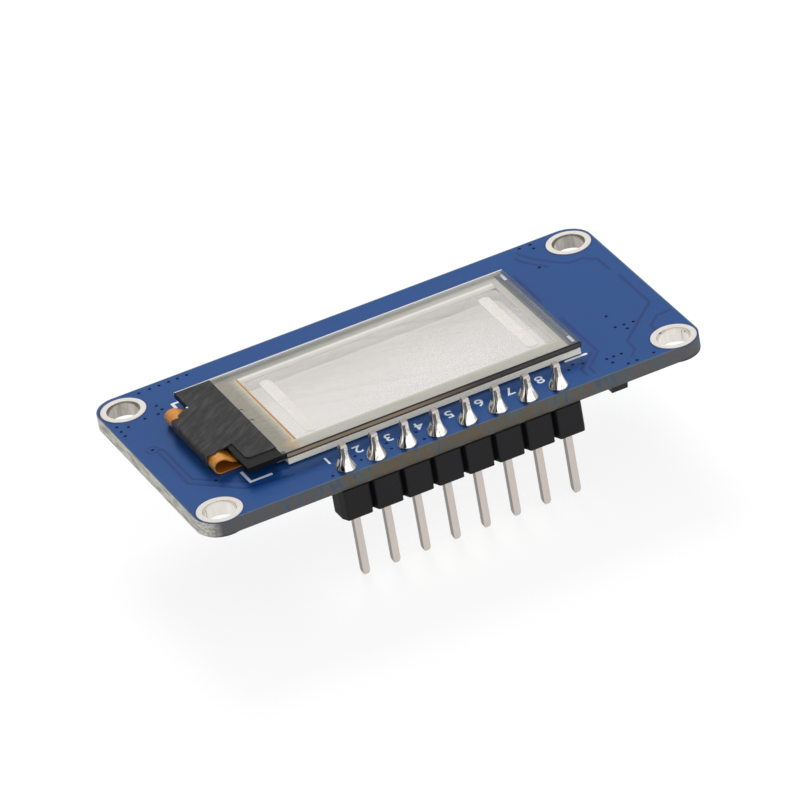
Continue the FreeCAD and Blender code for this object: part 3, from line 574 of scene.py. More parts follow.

# Moulded nylon: near-black, matt, with a fine even grain, greyer and coarser on the snapped end.
# That end's grey is partly painted light, for a left side lit more than the front.
nylon_finish, tree, place, surface = new_finish("moulded_black_nylon")
normal = add(tree, "SeparateXYZ", {0: add(tree, "NewGeometry").outputs["Normal"]})
snapped_and_lit = add(tree, "Math", {0: normal.outputs["X"], 1: -0.95}, operation="LESS_THAN")
grit, plain = mottled(tree, place, 0.05, "#0F0F12", "#18181B", detail=4)
torn = mottled(tree, place, 0.12, "#161618", "#343436", detail=4)[1]
tint = add(tree, "Mix", {0: snapped_and_lit, 6: plain, 7: torn}, data_type="RGBA")
rough = add(tree, "MapRange", {0: snapped_and_lit, 3: 0.5, 4: 0.75})
grain = add(tree, "Bump", {"Height": grit, "Distance": 0.012 * MM, "Strength": 0.6})
gloss = {"Base Color": tint, "Roughness": rough, "IOR": 1.53, "Specular IOR Level": 0.2, "Normal": grain}
add(tree, "BsdfPrincipled", gloss, to=surface)


def housing_outline():
    """Eight cells side by side: each one's corner, the same mirrored, and the whole front mirrored."""
    front, rear = HOUSING_LOW[1], HOUSING_HIGH[1]
    cell = np.vstack([CELL_CORNER, ((PIN_PITCH, 0) + CELL_CORNER * (-1, 1))[::-1]])
    starts = HOUSING_LOW[0] + PIN_PITCH * np.arange(PIN_COUNT)
    near = np.concatenate([cell + (start, front) for start in starts])
    near[[0, -1], 0] = HOUSING_LOW[0], HOUSING_HIGH[0]
    far = np.stack([near[:, 0], front + rear - near[:, 1]], 1)[::-1]
    return np.vstack([near, far])


strip = plate(housing_outline(), HOUSING_LOW[2], HOUSING_HIGH[2], HOUSING_EDGE, 3)
piece("pin_strip", [(strip, nylon_finish)], ["pin_housing"])

# Pins
# Eight square pins of tinned brass, drawn, sheared to length and pushed through the moulded strip.
# Their lower tips are rounded in, and their upper ends stand in the solder.

PIN_Y, PIN_LOW, PIN_HIGH = -9.75, -8.15, 3.25
PIN_SIDE, PIN_TIP_SIDE, PIN_TIP_LENGTH = 0.6, 0.34, 0.45
PIN_CORNER_SHARE = 0.18


def pin_rings(x):
    """A square section with rounded corners: half s0 + (s1 - s0) sin(t pi / 2) in the tip, flat on top."""
    share = np.linspace(0, 1, 7)
    half = PIN_TIP_SIDE / 2 + (PIN_SIDE - PIN_TIP_SIDE) / 2 * np.sin(share * np.pi / 2)
    sizes = np.concatenate([half, PIN_SIDE / 2 - np.array([0.02, 0.04, 0.09])])
    heights = np.concatenate([PIN_LOW + PIN_TIP_LENGTH * share**1.3, PIN_HIGH - np.array([0.3, 0.04, 0.0])])
    square = rounded_box((-1, -1), (1, 1), PIN_CORNER_SHARE, 4)
    flat = np.array([x, PIN_Y]) + sizes[:, None, None] * square[None]
    return np.concatenate([flat, np.broadcast_to(heights[:, None, None], (*flat.shape[:2], 1))], 2)


for number, x in enumerate(PIN_X, start=1):
    pin = [(skin(pin_rings(x)), tin_finish)]
    piece(f"square_pin_{number}", pin, [f"pin_{number}"], smooth=30)

# Solder joints
# Solder that has filled each hole from above and climbed its pin: a flared skirt on the pad, then
# a slim neck that turns from round to square where it wets the pin. Each one differs a little.

SOLDER_RISE = 1.8
SOLDER_HEIGHTS = np.array([0.0, 0.04, 0.12, 0.3, 0.5, 0.7, 0.9, 1.1, 1.3, 1.6, 1.8])
SOLDER_RADII = np.array([0.80, 0.81, 0.785, 0.69, 0.58, 0.485, 0.41, 0.36, 0.335, 0.32, 0.306])
SOLDER_SQUARENESS = np.array([2.1, 2.1, 2.2, 2.4, 2.7, 3.0, 3.3, 3.6, 4.0, 5.0, 8.0])
SOLDER_WAVES = {1: 0.10, 2: 0.07, 3: 0.05, 5: 0.05, 8: 0.03}
SKIRT_RADIUS, PLATED_HOLE_RADIUS = 0.82, 0.5
STREAK_AT_SKIRT, STREAK_AT_NECK = (-0.719, -0.695, 0), (-0.407, -0.914, 0)
FLOW_APART, FLOW_UPWARDS = 1700.0, 350.0

# Molten solder sets to a smooth mirror with soft ripples that run down the flow. A dark streak and a
# few fine dark lines are painted down each cone as painted reflections of the surround's dark gap, and
# the neck is greyer and grainy where it chilled first. The flow pattern is read by the direction from
# the pin, moved on for each cone and slowly with height.
solder_finish, tree, place, surface = new_finish("bright_solder")
where = add(tree, "SeparateXYZ", {0: place})
in_cell = add(tree, "Math", {0: where.outputs["X"], 1: PIN_PITCH * MM, 2: 0.0}, operation="WRAP")
aside = add(tree, "Math", {0: in_cell, 1: PIN_PITCH / 2 * MM}, operation="SUBTRACT")
ahead = add(tree, "Math", {0: where.outputs["Y"], 1: PIN_Y * MM}, operation="SUBTRACT")
away = add(tree, "VectorMath", {0: add(tree, "CombineXYZ", {0: aside, 1: ahead})}, operation="NORMALIZE")
at_skirt = add(tree, "VectorMath", {0: away, 1: STREAK_AT_SKIRT}, operation="DOT_PRODUCT").outputs["Value"]
at_neck = add(tree, "VectorMath", {0: away, 1: STREAK_AT_NECK}, operation="DOT_PRODUCT").outputs["Value"]
upwards = add(tree, "MapRange", {0: where.outputs["Z"], 1: 1.5 * MM, 2: 2.3 * MM})
facing = add(tree, "Mix", {0: upwards, 2: at_skirt, 3: at_neck})
cell = add(tree, "Math", {0: where.outputs["X"], 1: in_cell}, operation="SUBTRACT")
apart = add(tree, "Math", {0: cell, 1: FLOW_APART}, operation="MULTIPLY")
lift = add(tree, "Math", {0: where.outputs["Z"], 1: FLOW_UPWARDS}, operation="MULTIPLY")
flow_way = add(tree, "VectorMath", {0: away, 1: add(tree, "CombineXYZ", {0: apart})}, operation="ADD")
flow_way = add(tree, "VectorMath", {0: flow_way, 1: add(tree, "CombineXYZ", {2: lift})}, operation="ADD")
flow = add(tree, "TexNoise", {"Vector": flow_way, "Scale": 1.0, "Detail": 1})
fine_flow = add(tree, "TexNoise", {"Vector": flow_way, "Scale": 2.2, "Detail": 0})
grain = add(tree, "TexNoise", {"Vector": place, "Scale": 1 / (0.12 * MM), "Detail": 3})
neck = add(tree, "MapRange", {0: where.outputs["Z"], 1: 2.1 * MM, 2: 2.6 * MM})
# Fine dark lines, painted as reflections of dark in the surround.
streak_line_stops = [(0.0, "#ECE9E5"), (0.475, "#F1EEEA"), (0.5, "#77726C"), (0.525, "#EDEAE6")]
crease = add(tree, "ValToRGB", {0: fine_flow}, stops=streak_line_stops)
swerve = add(tree, "Math", {0: flow, 1: 0.06, 2: -0.03}, operation="MULTIPLY_ADD")
painted_streak = add(tree, "Math", {0: facing, 1: swerve}, operation="ADD")
painted_streak = add(tree, "Math", {0: upwards, 1: 0.03, 2: painted_streak}, operation="MULTIPLY_ADD")
painted_streak = add(tree, "MapRange", {0: painted_streak, 1: 0.965, 2: 0.985, 4: 0.85})
grain_stops = [(0.38, "#5F5A55"), (0.52, "#B5AFA9"), (0.66, "#F4F1EE")]
chilled = add(tree, "ValToRGB", {0: grain}, stops=grain_stops)
neck_share = add(tree, "Math", {0: neck, 1: 0.55}, operation="MULTIPLY")
tint = add(tree, "Mix", {0: neck_share, 6: crease, 7: chilled}, data_type="RGBA")
tint = add(tree, "Mix", {0: painted_streak, 6: tint, 7: "#403B37"}, data_type="RGBA")
ripple = add(tree, "Bump", {"Height": flow, "Distance": 0.05 * MM, "Strength": 0.5})
ripple = add(tree, "Bump", {"Height": grain, "Distance": 0.01 * MM, "Strength": neck, "Normal": ripple})
rough = add(tree, "MapRange", {0: neck, 3: 0.09, 4: 0.25})
gloss = {"Base Color": tint, "Metallic": 1.0, "Roughness": rough, "Normal": ripple}
add(tree, "BsdfPrincipled", gloss, to=surface)

draw = np.random.default_rng(7)


def solder_rings(x):
    """Rings of radius r(z) / (|cos a|^p + |sin a|^p)^(1/p), with p growing up the neck, leaned by waves."""
    rise = np.linspace(0, SOLDER_RISE, 25)
    radius = np.interp(rise, SOLDER_HEIGHTS, SOLDER_RADII)[:, None]
    power = np.interp(rise, SOLDER_HEIGHTS, SOLDER_SQUARENESS)[:, None]
    turn = np.linspace(0, 2 * np.pi, 48, endpoint=False)
    across, along = np.cos(turn)[None], np.sin(turn)[None]
    shape = radius / (np.abs(across) ** power + np.abs(along) ** power) ** (1 / power)
    phases = draw.uniform(0, 2 * np.pi, len(SOLDER_WAVES))
    swell = np.sin(np.pi * rise / SOLDER_RISE)[:, None] * (1 - rise / SOLDER_RISE)[:, None]
    waves = 0
    for (order, size), phase in zip(SOLDER_WAVES.items(), phases):
        waves = waves + size * np.cos(order * turn[None] + phase)
    shape = np.minimum(shape * (1 + waves * swell), SKIRT_RADIUS)
    flat = np.stack([x + shape * across, PIN_Y + shape * along], 2)
    high = np.broadcast_to((BOARD_TOP + rise)[:, None, None], (*flat.shape[:2], 1))
    return np.concatenate([flat, high], 2)


for number, x in enumerate(PIN_X, start=1):
    barrel = turned([(PLATED_HOLE_RADIUS, 0.0), (PLATED_HOLE_RADIUS, BOARD_TOP)], (x, PIN_Y), 24)
    joint = [(skin(solder_rings(x)), solder_finish), (barrel, solder_finish)]
    piece(f"solder_cone_{number}", joint, [f"solder_joint_{number}"], smooth=50)

# Tape frame and lit layer
# A frame of clear double-sided acrylic tape holds the display panel on the board, round the cut-out.
# The lit layer is a clear stack of electrodes and lit film, coated on the upper glass plate.


def film(name, size_mm, one, two, haze, roughness):
    """A thin clear film: light goes straight through a tint, some of it is scattered, a little reflects."""
    made, tree, place, surface = new_finish(name)
    tint = mottled(tree, place, size_mm, one, two, detail=2)[1]
    through = add(tree, "BsdfTransparent", {0: tint})
    scattered = add(tree, "BsdfPrincipled", {"Base Color": tint, "Roughness": roughness, "IOR": 1.5})
    add(tree, "MixShader", {0: haze, 1: through, 2: scattered}, to=surface)
    return made


# The tape is a little cloudy, and the electrode film is faintly warm.
dress("adhesive_frame", film("clear_acrylic_tape", 0.6, "#E9EBEC", "#F4F5F6", 0.38, 0.5))
dress("lit_layer", film("clear_electrode_film", 4.0, "#FAF9F8", "#FDFCFB", 0.05, 0.2))

# Glass plates
# Two plates of polished display glass, scored and broken to size and sealed together at the rim.
# The lower one has two shallow pockets, and the upper one runs out past it as a ledge at the left.

COVER_LOW, COVER_HIGH = box_of("cover_glass")
GLASS_LOW, GLASS_HIGH = box_of("carrier_glass")
COVER_EDGE, GLASS_EDGE = 0.03, 0.05
POCKET_DEPTH, POCKET_CLEARANCE = 0.2, 0.004


def glass_shader(tree, surface, tint):
    """Clear polished glass that bends light, and is plainly see-through for light that falls past it."""
    bending = {"Base Color": tint, "Roughness": 0.0, "IOR": 1.52, "Transmission Weight": 1.0}
    bent = add(tree, "BsdfPrincipled", bending)
    through = add(tree, "BsdfTransparent", {0: tint})
    path = add(tree, "LightPath").outputs
    soft = add(tree, "MixShader", {0: path["Is Diffuse Ray"], 1: bent, 2: through})
    add(tree, "MixShader", {0: path["Is Shadow Ray"], 1: soft, 2: through}, to=surface)


# Thin display glass: colourless and mirror-smooth.
glass_finish, tree, place, surface = new_finish("polished_display_glass")
glass_shader(tree, surface, mottled(tree, place, 8.0, "#FCFCFC", "#FEFEFE", detail=2)[1])

# The lower plate's tint carries painted shade, standing in for the shaded floor seen through it: clear
# at the front, pale grey towards the rear, then clear again short of the plate's rear edge. The
# painted shade is a little greyer at the right.
shaded_glass_finish, tree, place, surface = new_finish("display_glass_with_painted_shade")
clear = mottled(tree, place, 6.0, "#F7F6F3", "#F9F8F6", detail=2)[1]
where = add(tree, "SeparateXYZ", {0: place})
rearwards = add(tree, "MapRange", {0: where.outputs["Y"], 1: -3 * MM, 2: 7 * MM})
shade_stops = [
    (0.0, "#000000"), (0.33, "#A3A3A3"), (0.43, "#C6C6C6"), (0.53, "#E9E9E9"), (0.62, "#FBFBFB"),
    (0.7, "#DADADA"), (0.8, "#808080"), (0.84, "#747474"), (0.87, "#000000"),
]
# How much painted shade lies at each place along the plate.
thickness = add(tree, "ValToRGB", {0: rearwards}, stops=shade_stops)
tint = add(tree, "Mix", {0: thickness, 6: clear, 7: "#E2DFDB"}, data_type="RGBA")
rightwards = add(tree, "MapRange", {0: where.outputs["X"], 1: 3 * MM, 2: 8.5 * MM})
right_shade = {0: rightwards, 6: tint, 7: "#F7F7F7"}
glass_shader(tree, surface, add(tree, "Mix", right_shade, data_type="RGBA", blend_type="MULTIPLY"))

# The lower plate's cut edge is ground to a pale, warm frost with fine chips. Its near-white tint is
# partly painted light, for the light that glows out through the edge.
frost_gloss = {"Roughness": 0.55, "IOR": 1.52}
frost_and_glow_finish = plain_finish(
    "frosted_edge_painted_glow", 0.12, "#EFE6D3", "#FFFEF4", frost_gloss, dents=(0.01, 0.6), stretch=(1 / 3, 1, 1)
)

# The upper plate's edge is broken cleanly. Its colours are painted reflections of what a clear edge
# shows: brown and glassy at the left, near-black to the right and along the ledge, with a painted
# dark line along its top and bottom, and painted white highlight lines at the rear. Some of the
# light inside the glass comes out there.
cut_finish, tree, place, surface = new_finish("clean_cut_glass_edge")
where = add(tree, "SeparateXYZ", {0: place})
rightwards = add(tree, "MapRange", {0: where.outputs["X"], 1: -2 * MM, 2: 4 * MM})
streak_way = add(tree, "Mapping", {"Vector": place, "Scale": (1 / 6, 1, 1)})
streak, reflected_brown = mottled(tree, streak_way, 0.25, "#8A7A64", "#A3947F")
reflected_dark = add(tree, "Mix", {0: streak, 6: "#403E3C", 7: "#5C5A58"}, data_type="RGBA")
tint = add(tree, "Mix", {0: rightwards, 6: reflected_brown, 7: reflected_dark}, data_type="RGBA")
rise = add(tree, "MapRange", {0: where.outputs["Z"], 1: 1.9 * MM, 2: 2.4 * MM})
dark_line_stops = [(0.0, "#FFFFFF"), (0.16, "#FFFFFF"), (0.3, "#000000"), (0.7, "#000000"), (0.82, "#FFFFFF")]
painted_dark_lines = add(tree, "ValToRGB", {0: rise}, stops=dark_line_stops)
tint = add(tree, "Mix", {0: painted_dark_lines, 6: tint, 7: "#2B2824"}, data_type="RGBA")
highlight_line_stops = [(0.0, "#8F8E8A"), (0.25, "#A3A29E"), (0.4, "#FFFFFF"), (0.75, "#FFFFFF"), (0.9, "#55575A")]
painted_highlight_lines = add(tree, "ValToRGB", {0: rise}, stops=highlight_line_stops)
on_ledge = add(tree, "Math", {0: where.outputs["X"], 1: -12.25 * MM}, operation="LESS_THAN")
tint = add(tree, "Mix", {0: on_ledge, 6: tint, 7: "#1A1A1B"}, data_type="RGBA")
at_rear = add(tree, "Math", {0: where.outputs["Y"], 1: 6.9 * MM}, operation="GREATER_THAN")
tint = add(tree, "Mix", {0: at_rear, 6: tint, 7: painted_highlight_lines}, data_type="RGBA")
shader = add(tree, "BsdfPrincipled", {"Base Color": tint, "Roughness": 0.3, "IOR": 1.52})
inner_light = add(tree, "BsdfTranslucent", {0: tint})
add(tree, "MixShader", {0: 0.5, 1: shader, 2: inner_light}, to=surface)

# Its arris is a hair line painted with light and shade: a white highlight along the rear, a
# blue-grey reflection at the right end, a dark line elsewhere.
arris_finish, tree, place, surface = new_finish("glass_arris_painted_glints")
where = add(tree, "SeparateXYZ", {0: place})
rearmost = add(tree, "Math", {0: where.outputs["Y"], 1: 6.88 * MM}, operation="GREATER_THAN")
rightmost = add(tree, "Math", {0: where.outputs["X"], 1: 12.33 * MM}, operation="GREATER_THAN")
chips, white = mottled(tree, place, 0.3, "#CDCAC3", "#F2F0EA")
reflected_cold = add(tree, "Mix", {0: chips, 6: "#5D6880", 7: "#9AA2B4"}, data_type="RGBA")
tint = add(tree, "Mix", {0: rightmost, 6: "#24221F", 7: reflected_cold}, data_type="RGBA")
tint = add(tree, "Mix", {0: rearmost, 6: tint, 7: white}, data_type="RGBA")
add(tree, "BsdfPrincipled", {"Base Color": tint, "Roughness": 0.4, "IOR": 1.52}, to=surface)


def pocketed_plate(outline, low, high, pockets, depth, edge):
    """A plate with pockets in its top: rim, top face cut round the pockets, and their walls and floors."""
    points, faces = plate(outline, low, high, edge, 1)
    borders = [np.arange(len(points) - len(outline), len(points))]
    points, faces = [points], faces[:-1]
    for pocket in pockets:
        count = sum(map(len, points))
        rings = [np.hstack([pocket, np.full((len(pocket), 1), z)]) for z in (high, high - depth)]
        corners, polygons = skin(rings)
        borders.append(np.arange(len(pocket)) + count)
        faces += [[count + corner for corner in polygon] for polygon in polygons[:-2] + polygons[-1:]]
        points.append(corners)
    points = np.concatenate(points)
    lines = [[Vector(points[at]) for at in border] for border in borders]
    flat = np.concatenate(borders)
    for triangle in tessellate_polygon(lines):
        a, b, c = (points[flat[at]] for at in triangle)
        upward = np.cross(b - a, c - a)[2] > 0
        faces.append([int(flat[at]) for at in (triangle if upward else triangle[::-1])])
    return points, faces


pockets = []
for side in ("left", "right"):
    low, high = (corner[:2] for corner in box_of(f"drying_strip_{side}"))
    half = (high - low)[0] / 2 + POCKET_CLEARANCE
    pockets.append(rounded_box(low - POCKET_CLEARANCE, high + POCKET_CLEARANCE, half - 1e-4, 12))
cover_outline = rounded_box(COVER_LOW[:2], COVER_HIGH[:2], 0)
pocket_depth = POCKET_DEPTH + POCKET_CLEARANCE
lower = pocketed_plate(cover_outline, COVER_LOW[2], COVER_HIGH[2], pockets, pocket_depth, COVER_EDGE)
lower_glass = piece("lower_glass", [(lower, shaded_glass_finish)], ["cover_glass"])
rim_faces = 3 * len(cover_outline)
finish_sides(lower_glass, frost_and_glow_finish, frost_and_glow_finish, rim_faces)

upper = block(GLASS_LOW, GLASS_HIGH, edge=GLASS_EDGE, edge_steps=1)
upper_glass = piece("upper_glass", [(upper, glass_finish)], ["carrier_glass"])
finish_sides(upper_glass, cut_finish, arris_finish)

# Grey resin, run round the rim between the plates and cured. More of it fills the gap beside the
# driver chip and the rear rim, and a little clear resin has crept along the edges. Pale lines painted
# along the inner edges are painted highlights, and two small white dabs sit in the right margin.

PANE_Z = 1.9
BEADS = [((-12.88, -6.1, 1.42), (-12.19, 6.6)), ((-15.4, 6.62, 1.81), (12.2, 6.93))]
DAB_X, DAB_STARTS, DAB_LENGTH, DAB_CORNER = (11.95, 12.22), (-6.2, 5.5), 1.0, 0.05
MARGIN = (11.51, -6.68, PANE_Z - 0.09), (12.26, 6.58, PANE_Z - 0.012)
REAR_LINE = (-10.7, 4.9, PANE_Z + 0.001), (10.98, 5.78, PANE_Z + 0.003)
SIDE_LINE = (10.92, -5.1, PANE_Z + 0.001), (11.06, 5.4, PANE_Z + 0.003)

# Cured sealing resin: matt and pale grey, darker and warmer at the left, darker at the rear, with an
# amber stain at the lit area's front left corner. It is paler along its inner front edge, and its
# front face is painted dark as the shade in the gap between the plates.
seal_finish, tree, place, surface = new_finish("cured_grey_resin")
cloud, cool = mottled(tree, place, 0.5, "#BCBAB0", "#C6C4BA")
warm = add(tree, "Mix", {0: cloud, 6: "#979285", 7: "#A9A495"}, data_type="RGBA")
grey = add(tree, "Mix", {0: cloud, 6: "#979690", 7: "#A4A39D"}, data_type="RGBA")
where = add(tree, "SeparateXYZ", {0: place})
leftwards = add(tree, "MapRange", {0: where.outputs["X"], 1: -10.9 * MM, 2: -11.5 * MM})
rightwards = add(tree, "MapRange", {0: where.outputs["X"], 1: -12 * MM, 2: 10 * MM})
rearwards = add(tree, "MapRange", {0: where.outputs["Y"], 1: 5.5 * MM, 2: 6.0 * MM, 4: 0.9})
rear = add(tree, "Mix", {0: rightwards, 6: grey, 7: cool}, data_type="RGBA")
cool = add(tree, "Mix", {0: rearwards, 6: cool, 7: rear}, data_type="RGBA")
tint = add(tree, "Mix", {0: leftwards, 6: cool, 7: warm}, data_type="RGBA")
to_corner = add(tree, "VectorMath", {0: place, 1: (-11.2 * MM, -5.5 * MM, 1.9 * MM)}, operation="DISTANCE")
stain = add(tree, "MapRange", {0: to_corner.outputs["Value"], 1: 0.9 * MM, 2: 0.3 * MM, 4: 0.7})
tint = add(tree, "Mix", {0: stain, 6: tint, 7: "#CBAA86"}, data_type="RGBA")
to_window = beyond(tree, place, (0.0, 0.3), (11.0, 5.45))
lip = add(tree, "MapRange", {0: to_window, 1: 0.3 * MM, 2: 0.1 * MM, 4: 0.6})
lip_at_front = add(tree, "Math", {0: where.outputs["Y"], 1: -5.1 * MM}, operation="LESS_THAN")
lip = add(tree, "Math", {0: lip, 1: lip_at_front}, operation="MULTIPLY")
tint = add(tree, "Mix", {0: lip, 6: tint, 7: "#DED6C6"}, data_type="RGBA")
shaded_front_face = add(tree, "Math", {0: where.outputs["Y"], 1: -6.68 * MM}, operation="LESS_THAN")
tint = add(tree, "Mix", {0: shaded_front_face, 6: tint, 7: "#3A342D"}, data_type="RGBA")
add(tree, "BsdfPrincipled", {"Base Color": tint, "Roughness": 0.6, "IOR": 1.5}, to=surface)
dress("edge_seal", seal_finish)

# Beads of the grey resin lie beside the chip and along the rear. Two small white dabs, satin and
# cold, sit in the clear right margin.
dab_gloss = {"Roughness": 0.4, "IOR": 1.5}
dab_finish = plain_finish("small_white_dab", 0.15, "#D5D8DE", "#F3F5F8", dab_gloss)
shapes = [(block(low, (*high, PANE_Z - 0.001)), seal_finish) for low, high in BEADS]
for y in DAB_STARTS:
    dab = block((DAB_X[0], y, PANE_Z - 0.01), (DAB_X[1], y + DAB_LENGTH, PANE_Z - 0.002), DAB_CORNER)
    shapes.append((dab, dab_finish))
piece("resin_bead", shapes, smooth=40)

# Clear resin wets both plates in the right margin, a little cloudy.
margin_finish = film("clear_margin_resin", 0.5, "#EEF1F4", "#F8FAFC", 0.07, 0.3)
piece("margin_resin", [(block(*MARGIN), margin_finish)])

# Along the rear, a pale line painted along the seal's inner edge is a painted highlight, and it thins
# out to the front as a pale sheet painted over the shade under the seal. A narrower painted highlight
# line, laid over shade, runs down the right side.
highlight_line_finish, tree, place, surface = new_finish("painted_highlight_line")
from_front = add(tree, "SeparateXYZ", {0: place}).outputs["Y"]
rearwards = add(tree, "MapRange", {0: from_front, 1: 4.9 * MM, 2: 5.8 * MM})
cover_stops = [(0.0, "#000000"), (0.08, "#C4C4C4"), (0.3, "#E0E0E0"), (0.55, "#E8E8E8"), (0.66, "#FFFFFF")]
cover = add(tree, "ValToRGB", {0: rearwards}, stops=cover_stops)
tint = mottled(tree, place, 0.4, "#D9D5CF", "#E6E3DD", detail=2)[1]
resin = add(tree, "BsdfPrincipled", {"Base Color": tint, "Roughness": 0.6, "IOR": 1.5})
through = add(tree, "BsdfTransparent")
add(tree, "MixShader", {0: cover, 1: through, 2: resin}, to=surface)
side_finish = film("painted_side_highlight", 0.4, "#D9D5CF", "#E6E3DD", 0.75, 0.6)
lines = [(block(*REAR_LINE), highlight_line_finish), (block(*SIDE_LINE), side_finish)]
piece("painted_highlight_lines", lines)

# Electrode tracks
# Thin metal lines, sputtered and etched on the upper plate's underside. They run from the lit
# area to the chip and fan in on the way. The real ones are too fine and many to show, so eleven
# stand for them.

TRACK_COUNT, TRACK_SPREAD = 11, 0.4
TRACK_WIDTH, TRACK_HEIGHTS = 0.03, (PANE_Z + 0.002, PANE_Z + 0.006)

# Sputtered metal seen through glass: brown-grey, half glossy.
track_gloss = {"Metallic": 0.3, "Roughness": 0.4}
track_finish = plain_finish("sputtered_metal_tracks", 0.3, "#817A6E", "#A19A8D", track_gloss, detail=2)
track_shifts = draw.uniform(-TRACK_SPREAD, TRACK_SPREAD, TRACK_COUNT)
track_starts = np.linspace(-4.6, 5.4, TRACK_COUNT) + track_shifts
track_lines = [[(-11.02, y), (-11.5, y), (-12.6, 0.3 + 0.72 * y)] for y in track_starts]
tracks = [plate(line_outline(line, TRACK_WIDTH), *TRACK_HEIGHTS) for line in track_lines]
piece("fan_out_tracks", [(track, track_finish) for track in tracks])

# Drying strips
# Two strips of chalk-white drying sheet, cut with round ends and laid in the lower plate's pockets.
# They take up the moisture that gets past the seal.

# Drying sheet is matt and slightly fibrous along its length.
strip_gloss = {"Roughness": 0.85}
strip_finish = plain_finish(
    "white_drying_sheet", 0.2, "#F4F2EE", "#FBF9F5", strip_gloss, dents=(0.01, 0.4), stretch=(1, 1 / 3, 1)
)
dress("drying_strip_left", strip_finish)
dress("drying_strip_right", strip_finish)

# Amber film line
# A narrow strip of amber insulating film along the lit area's left side, pressed between the plates.
# It is pale tan at its two edges and ochre along its core.

amber_line_finish, tree, place, surface = new_finish("amber_edge_film")
from_left = add(tree, "SeparateXYZ", {0: place}).outputs["X"]
across = add(tree, "MapRange", {0: from_left, 1: -11.0 * MM, 2: -10.7 * MM})
core_stops = [(0.0, "#D2BC94"), (0.3, "#DDD0B8"), (0.5, "#C4975A"), (0.8, "#BA874A"), (1.0, "#DCC4A0")]
tint = add(tree, "ValToRGB", {0: across}, stops=core_stops)
add(tree, "BsdfPrincipled", {"Base Color": tint, "Roughness": 0.4}, to=surface)
dress("insulation_strip", amber_line_finish)

# Driver chip
# A bare chip that drives the display, thinned, polished and bonded against the glass under the ledge.
# Silicon is a dark blue-grey, nearly a mirror.

CHIP_EDGE = 0.015
silicon_gloss = {"Metallic": 0.6, "Roughness": 0.22}
silicon_finish = plain_finish("polished_silicon", 0.4, "#3A3B42", "#4A4B54", silicon_gloss)
chip = block(*box_of("driver_chip"), edge=CHIP_EDGE, edge_steps=1)
piece("bare_chip", [(chip, silicon_finish)], ["driver_chip"])

# Flat cable
# Copper tracks between two films of polyimide, 0.1 mm thick in all. It is bonded under the glass
# ledge, folds back in an open loop, and its tail is soldered to the board.

CABLE_LOW, CABLE_HIGH = box_of("flat_cable")
CABLE_THICKNESS, CABLE_LINES = 0.1, 0.6
FOLD_CENTRE, FOLD_RADIUS = (-16.725, 1.825), 0.525
LANDING_Z, FOLD_TOP, FOLD_BOTTOM = 1.85, FOLD_CENTRE[1] + FOLD_RADIUS, FOLD_CENTRE[1] - FOLD_RADIUS

# Polyimide film over copper: glossy amber, with faint lines where the tracks run along it. They are
# drawn 0.6 mm apart, twice as coarse as real ones, so that they show. The wave node's bands are
# 0.314 / Scale apart.
amber_finish, tree, place, surface = new_finish("printed_polyimide_cable")
bands = {"Vector": place, "Scale": 0.314 / (CABLE_LINES * MM)}
bands = add(tree, "TexWave", bands, bands_direction="Y")
base = mottled(tree, place, 0.8, "#C9842F", "#D9953F")[1]
faint = add(tree, "MapRange", {0: bands, 4: 0.25})
tint = add(tree, "Mix", {0: faint, 6: base, 7: "#A86218"}, data_type="RGBA")
add(tree, "BsdfPrincipled", {"Base Color": tint, "Roughness": 0.3, "IOR": 1.6}, to=surface)

# The inner side carries the copper tracks and their adhesive, so it is browner and less glossy.
inner_gloss = {"Roughness": 0.5, "IOR": 1.6}
inner_finish = plain_finish("cable_inner_side", 0.6, "#A85E18", "#C27524", inner_gloss)


def cable_path():
    """Landing under the ledge, a rise t t (3 - 2 t) to the tape, half a turn round the fold, and back."""
    share = np.linspace(0, 1, 13)
    rise = share * share * (3 - 2 * share)
    under = np.array([(-14.6, LANDING_Z), (-15.1, LANDING_Z)])
    ramp = np.stack([-15.5 - share, LANDING_Z + (FOLD_TOP - LANDING_Z) * rise], 1)
    fold = np.array(FOLD_CENTRE) + FOLD_RADIUS * arc(92, 268, 25)
    back = np.array([(x, FOLD_BOTTOM) for x in (-16.2, -15.0, -12.8)])
    return np.vstack([under, ramp, fold, back])


path = cable_path()
cable = strap(path, CABLE_THICKNESS, CABLE_LOW[1], CABLE_HIGH[1])
folded_cable = piece("folded_cable", [(cable, amber_finish)], ["flat_cable"], smooth=40)
folded_cable.data.materials.append(inner_finish)
inner_faces = np.append(np.tile((0, 0, 1, 0), len(path) - 1), (0, 0))
folded_cable.data.polygons.foreach_set("material_index", inner_faces.astype(np.int32))
dress("cable_bond", plating_finish)

# Foam pads
# Two pads of black closed-cell foam, cut from sheet and stuck under the ledge beside the cable. They
# stand back from the ledge's edges.

FOAM_RECESS, FOAM_CORNER, FOAM_EDGE = (0.6, 1.0), 0.08, 0.05

# Closed-cell foam: dull black with fine pores.
foam_finish, tree, place, surface = new_finish("closed_cell_foam")
pores = add(tree, "TexVoronoi", {"Vector": place, "Scale": 1 / (0.1 * MM)}).outputs["Distance"]
tint = add(tree, "Mix", {0: pores, 6: "#0E0E0F", 7: "#1D1D1F"}, data_type="RGBA")
rough = add(tree, "Bump", {"Height": pores, "Distance": 0.02 * MM, "Strength": 0.7})
add(tree, "BsdfPrincipled", {"Base Color": tint, "Roughness": 0.95, "Normal": rough}, to=surface)
for end in ("front", "rear"):
    low, high = box_of(f"ledge_pad_{end}")
    low[:2] += FOAM_RECESS
    high[1] -= FOAM_RECESS[0]
    pad = block(low, high, FOAM_CORNER, 3, FOAM_EDGE)
    piece(f"foam_{end}", [(pad, foam_finish)], [f"ledge_pad_{end}"], smooth=40)
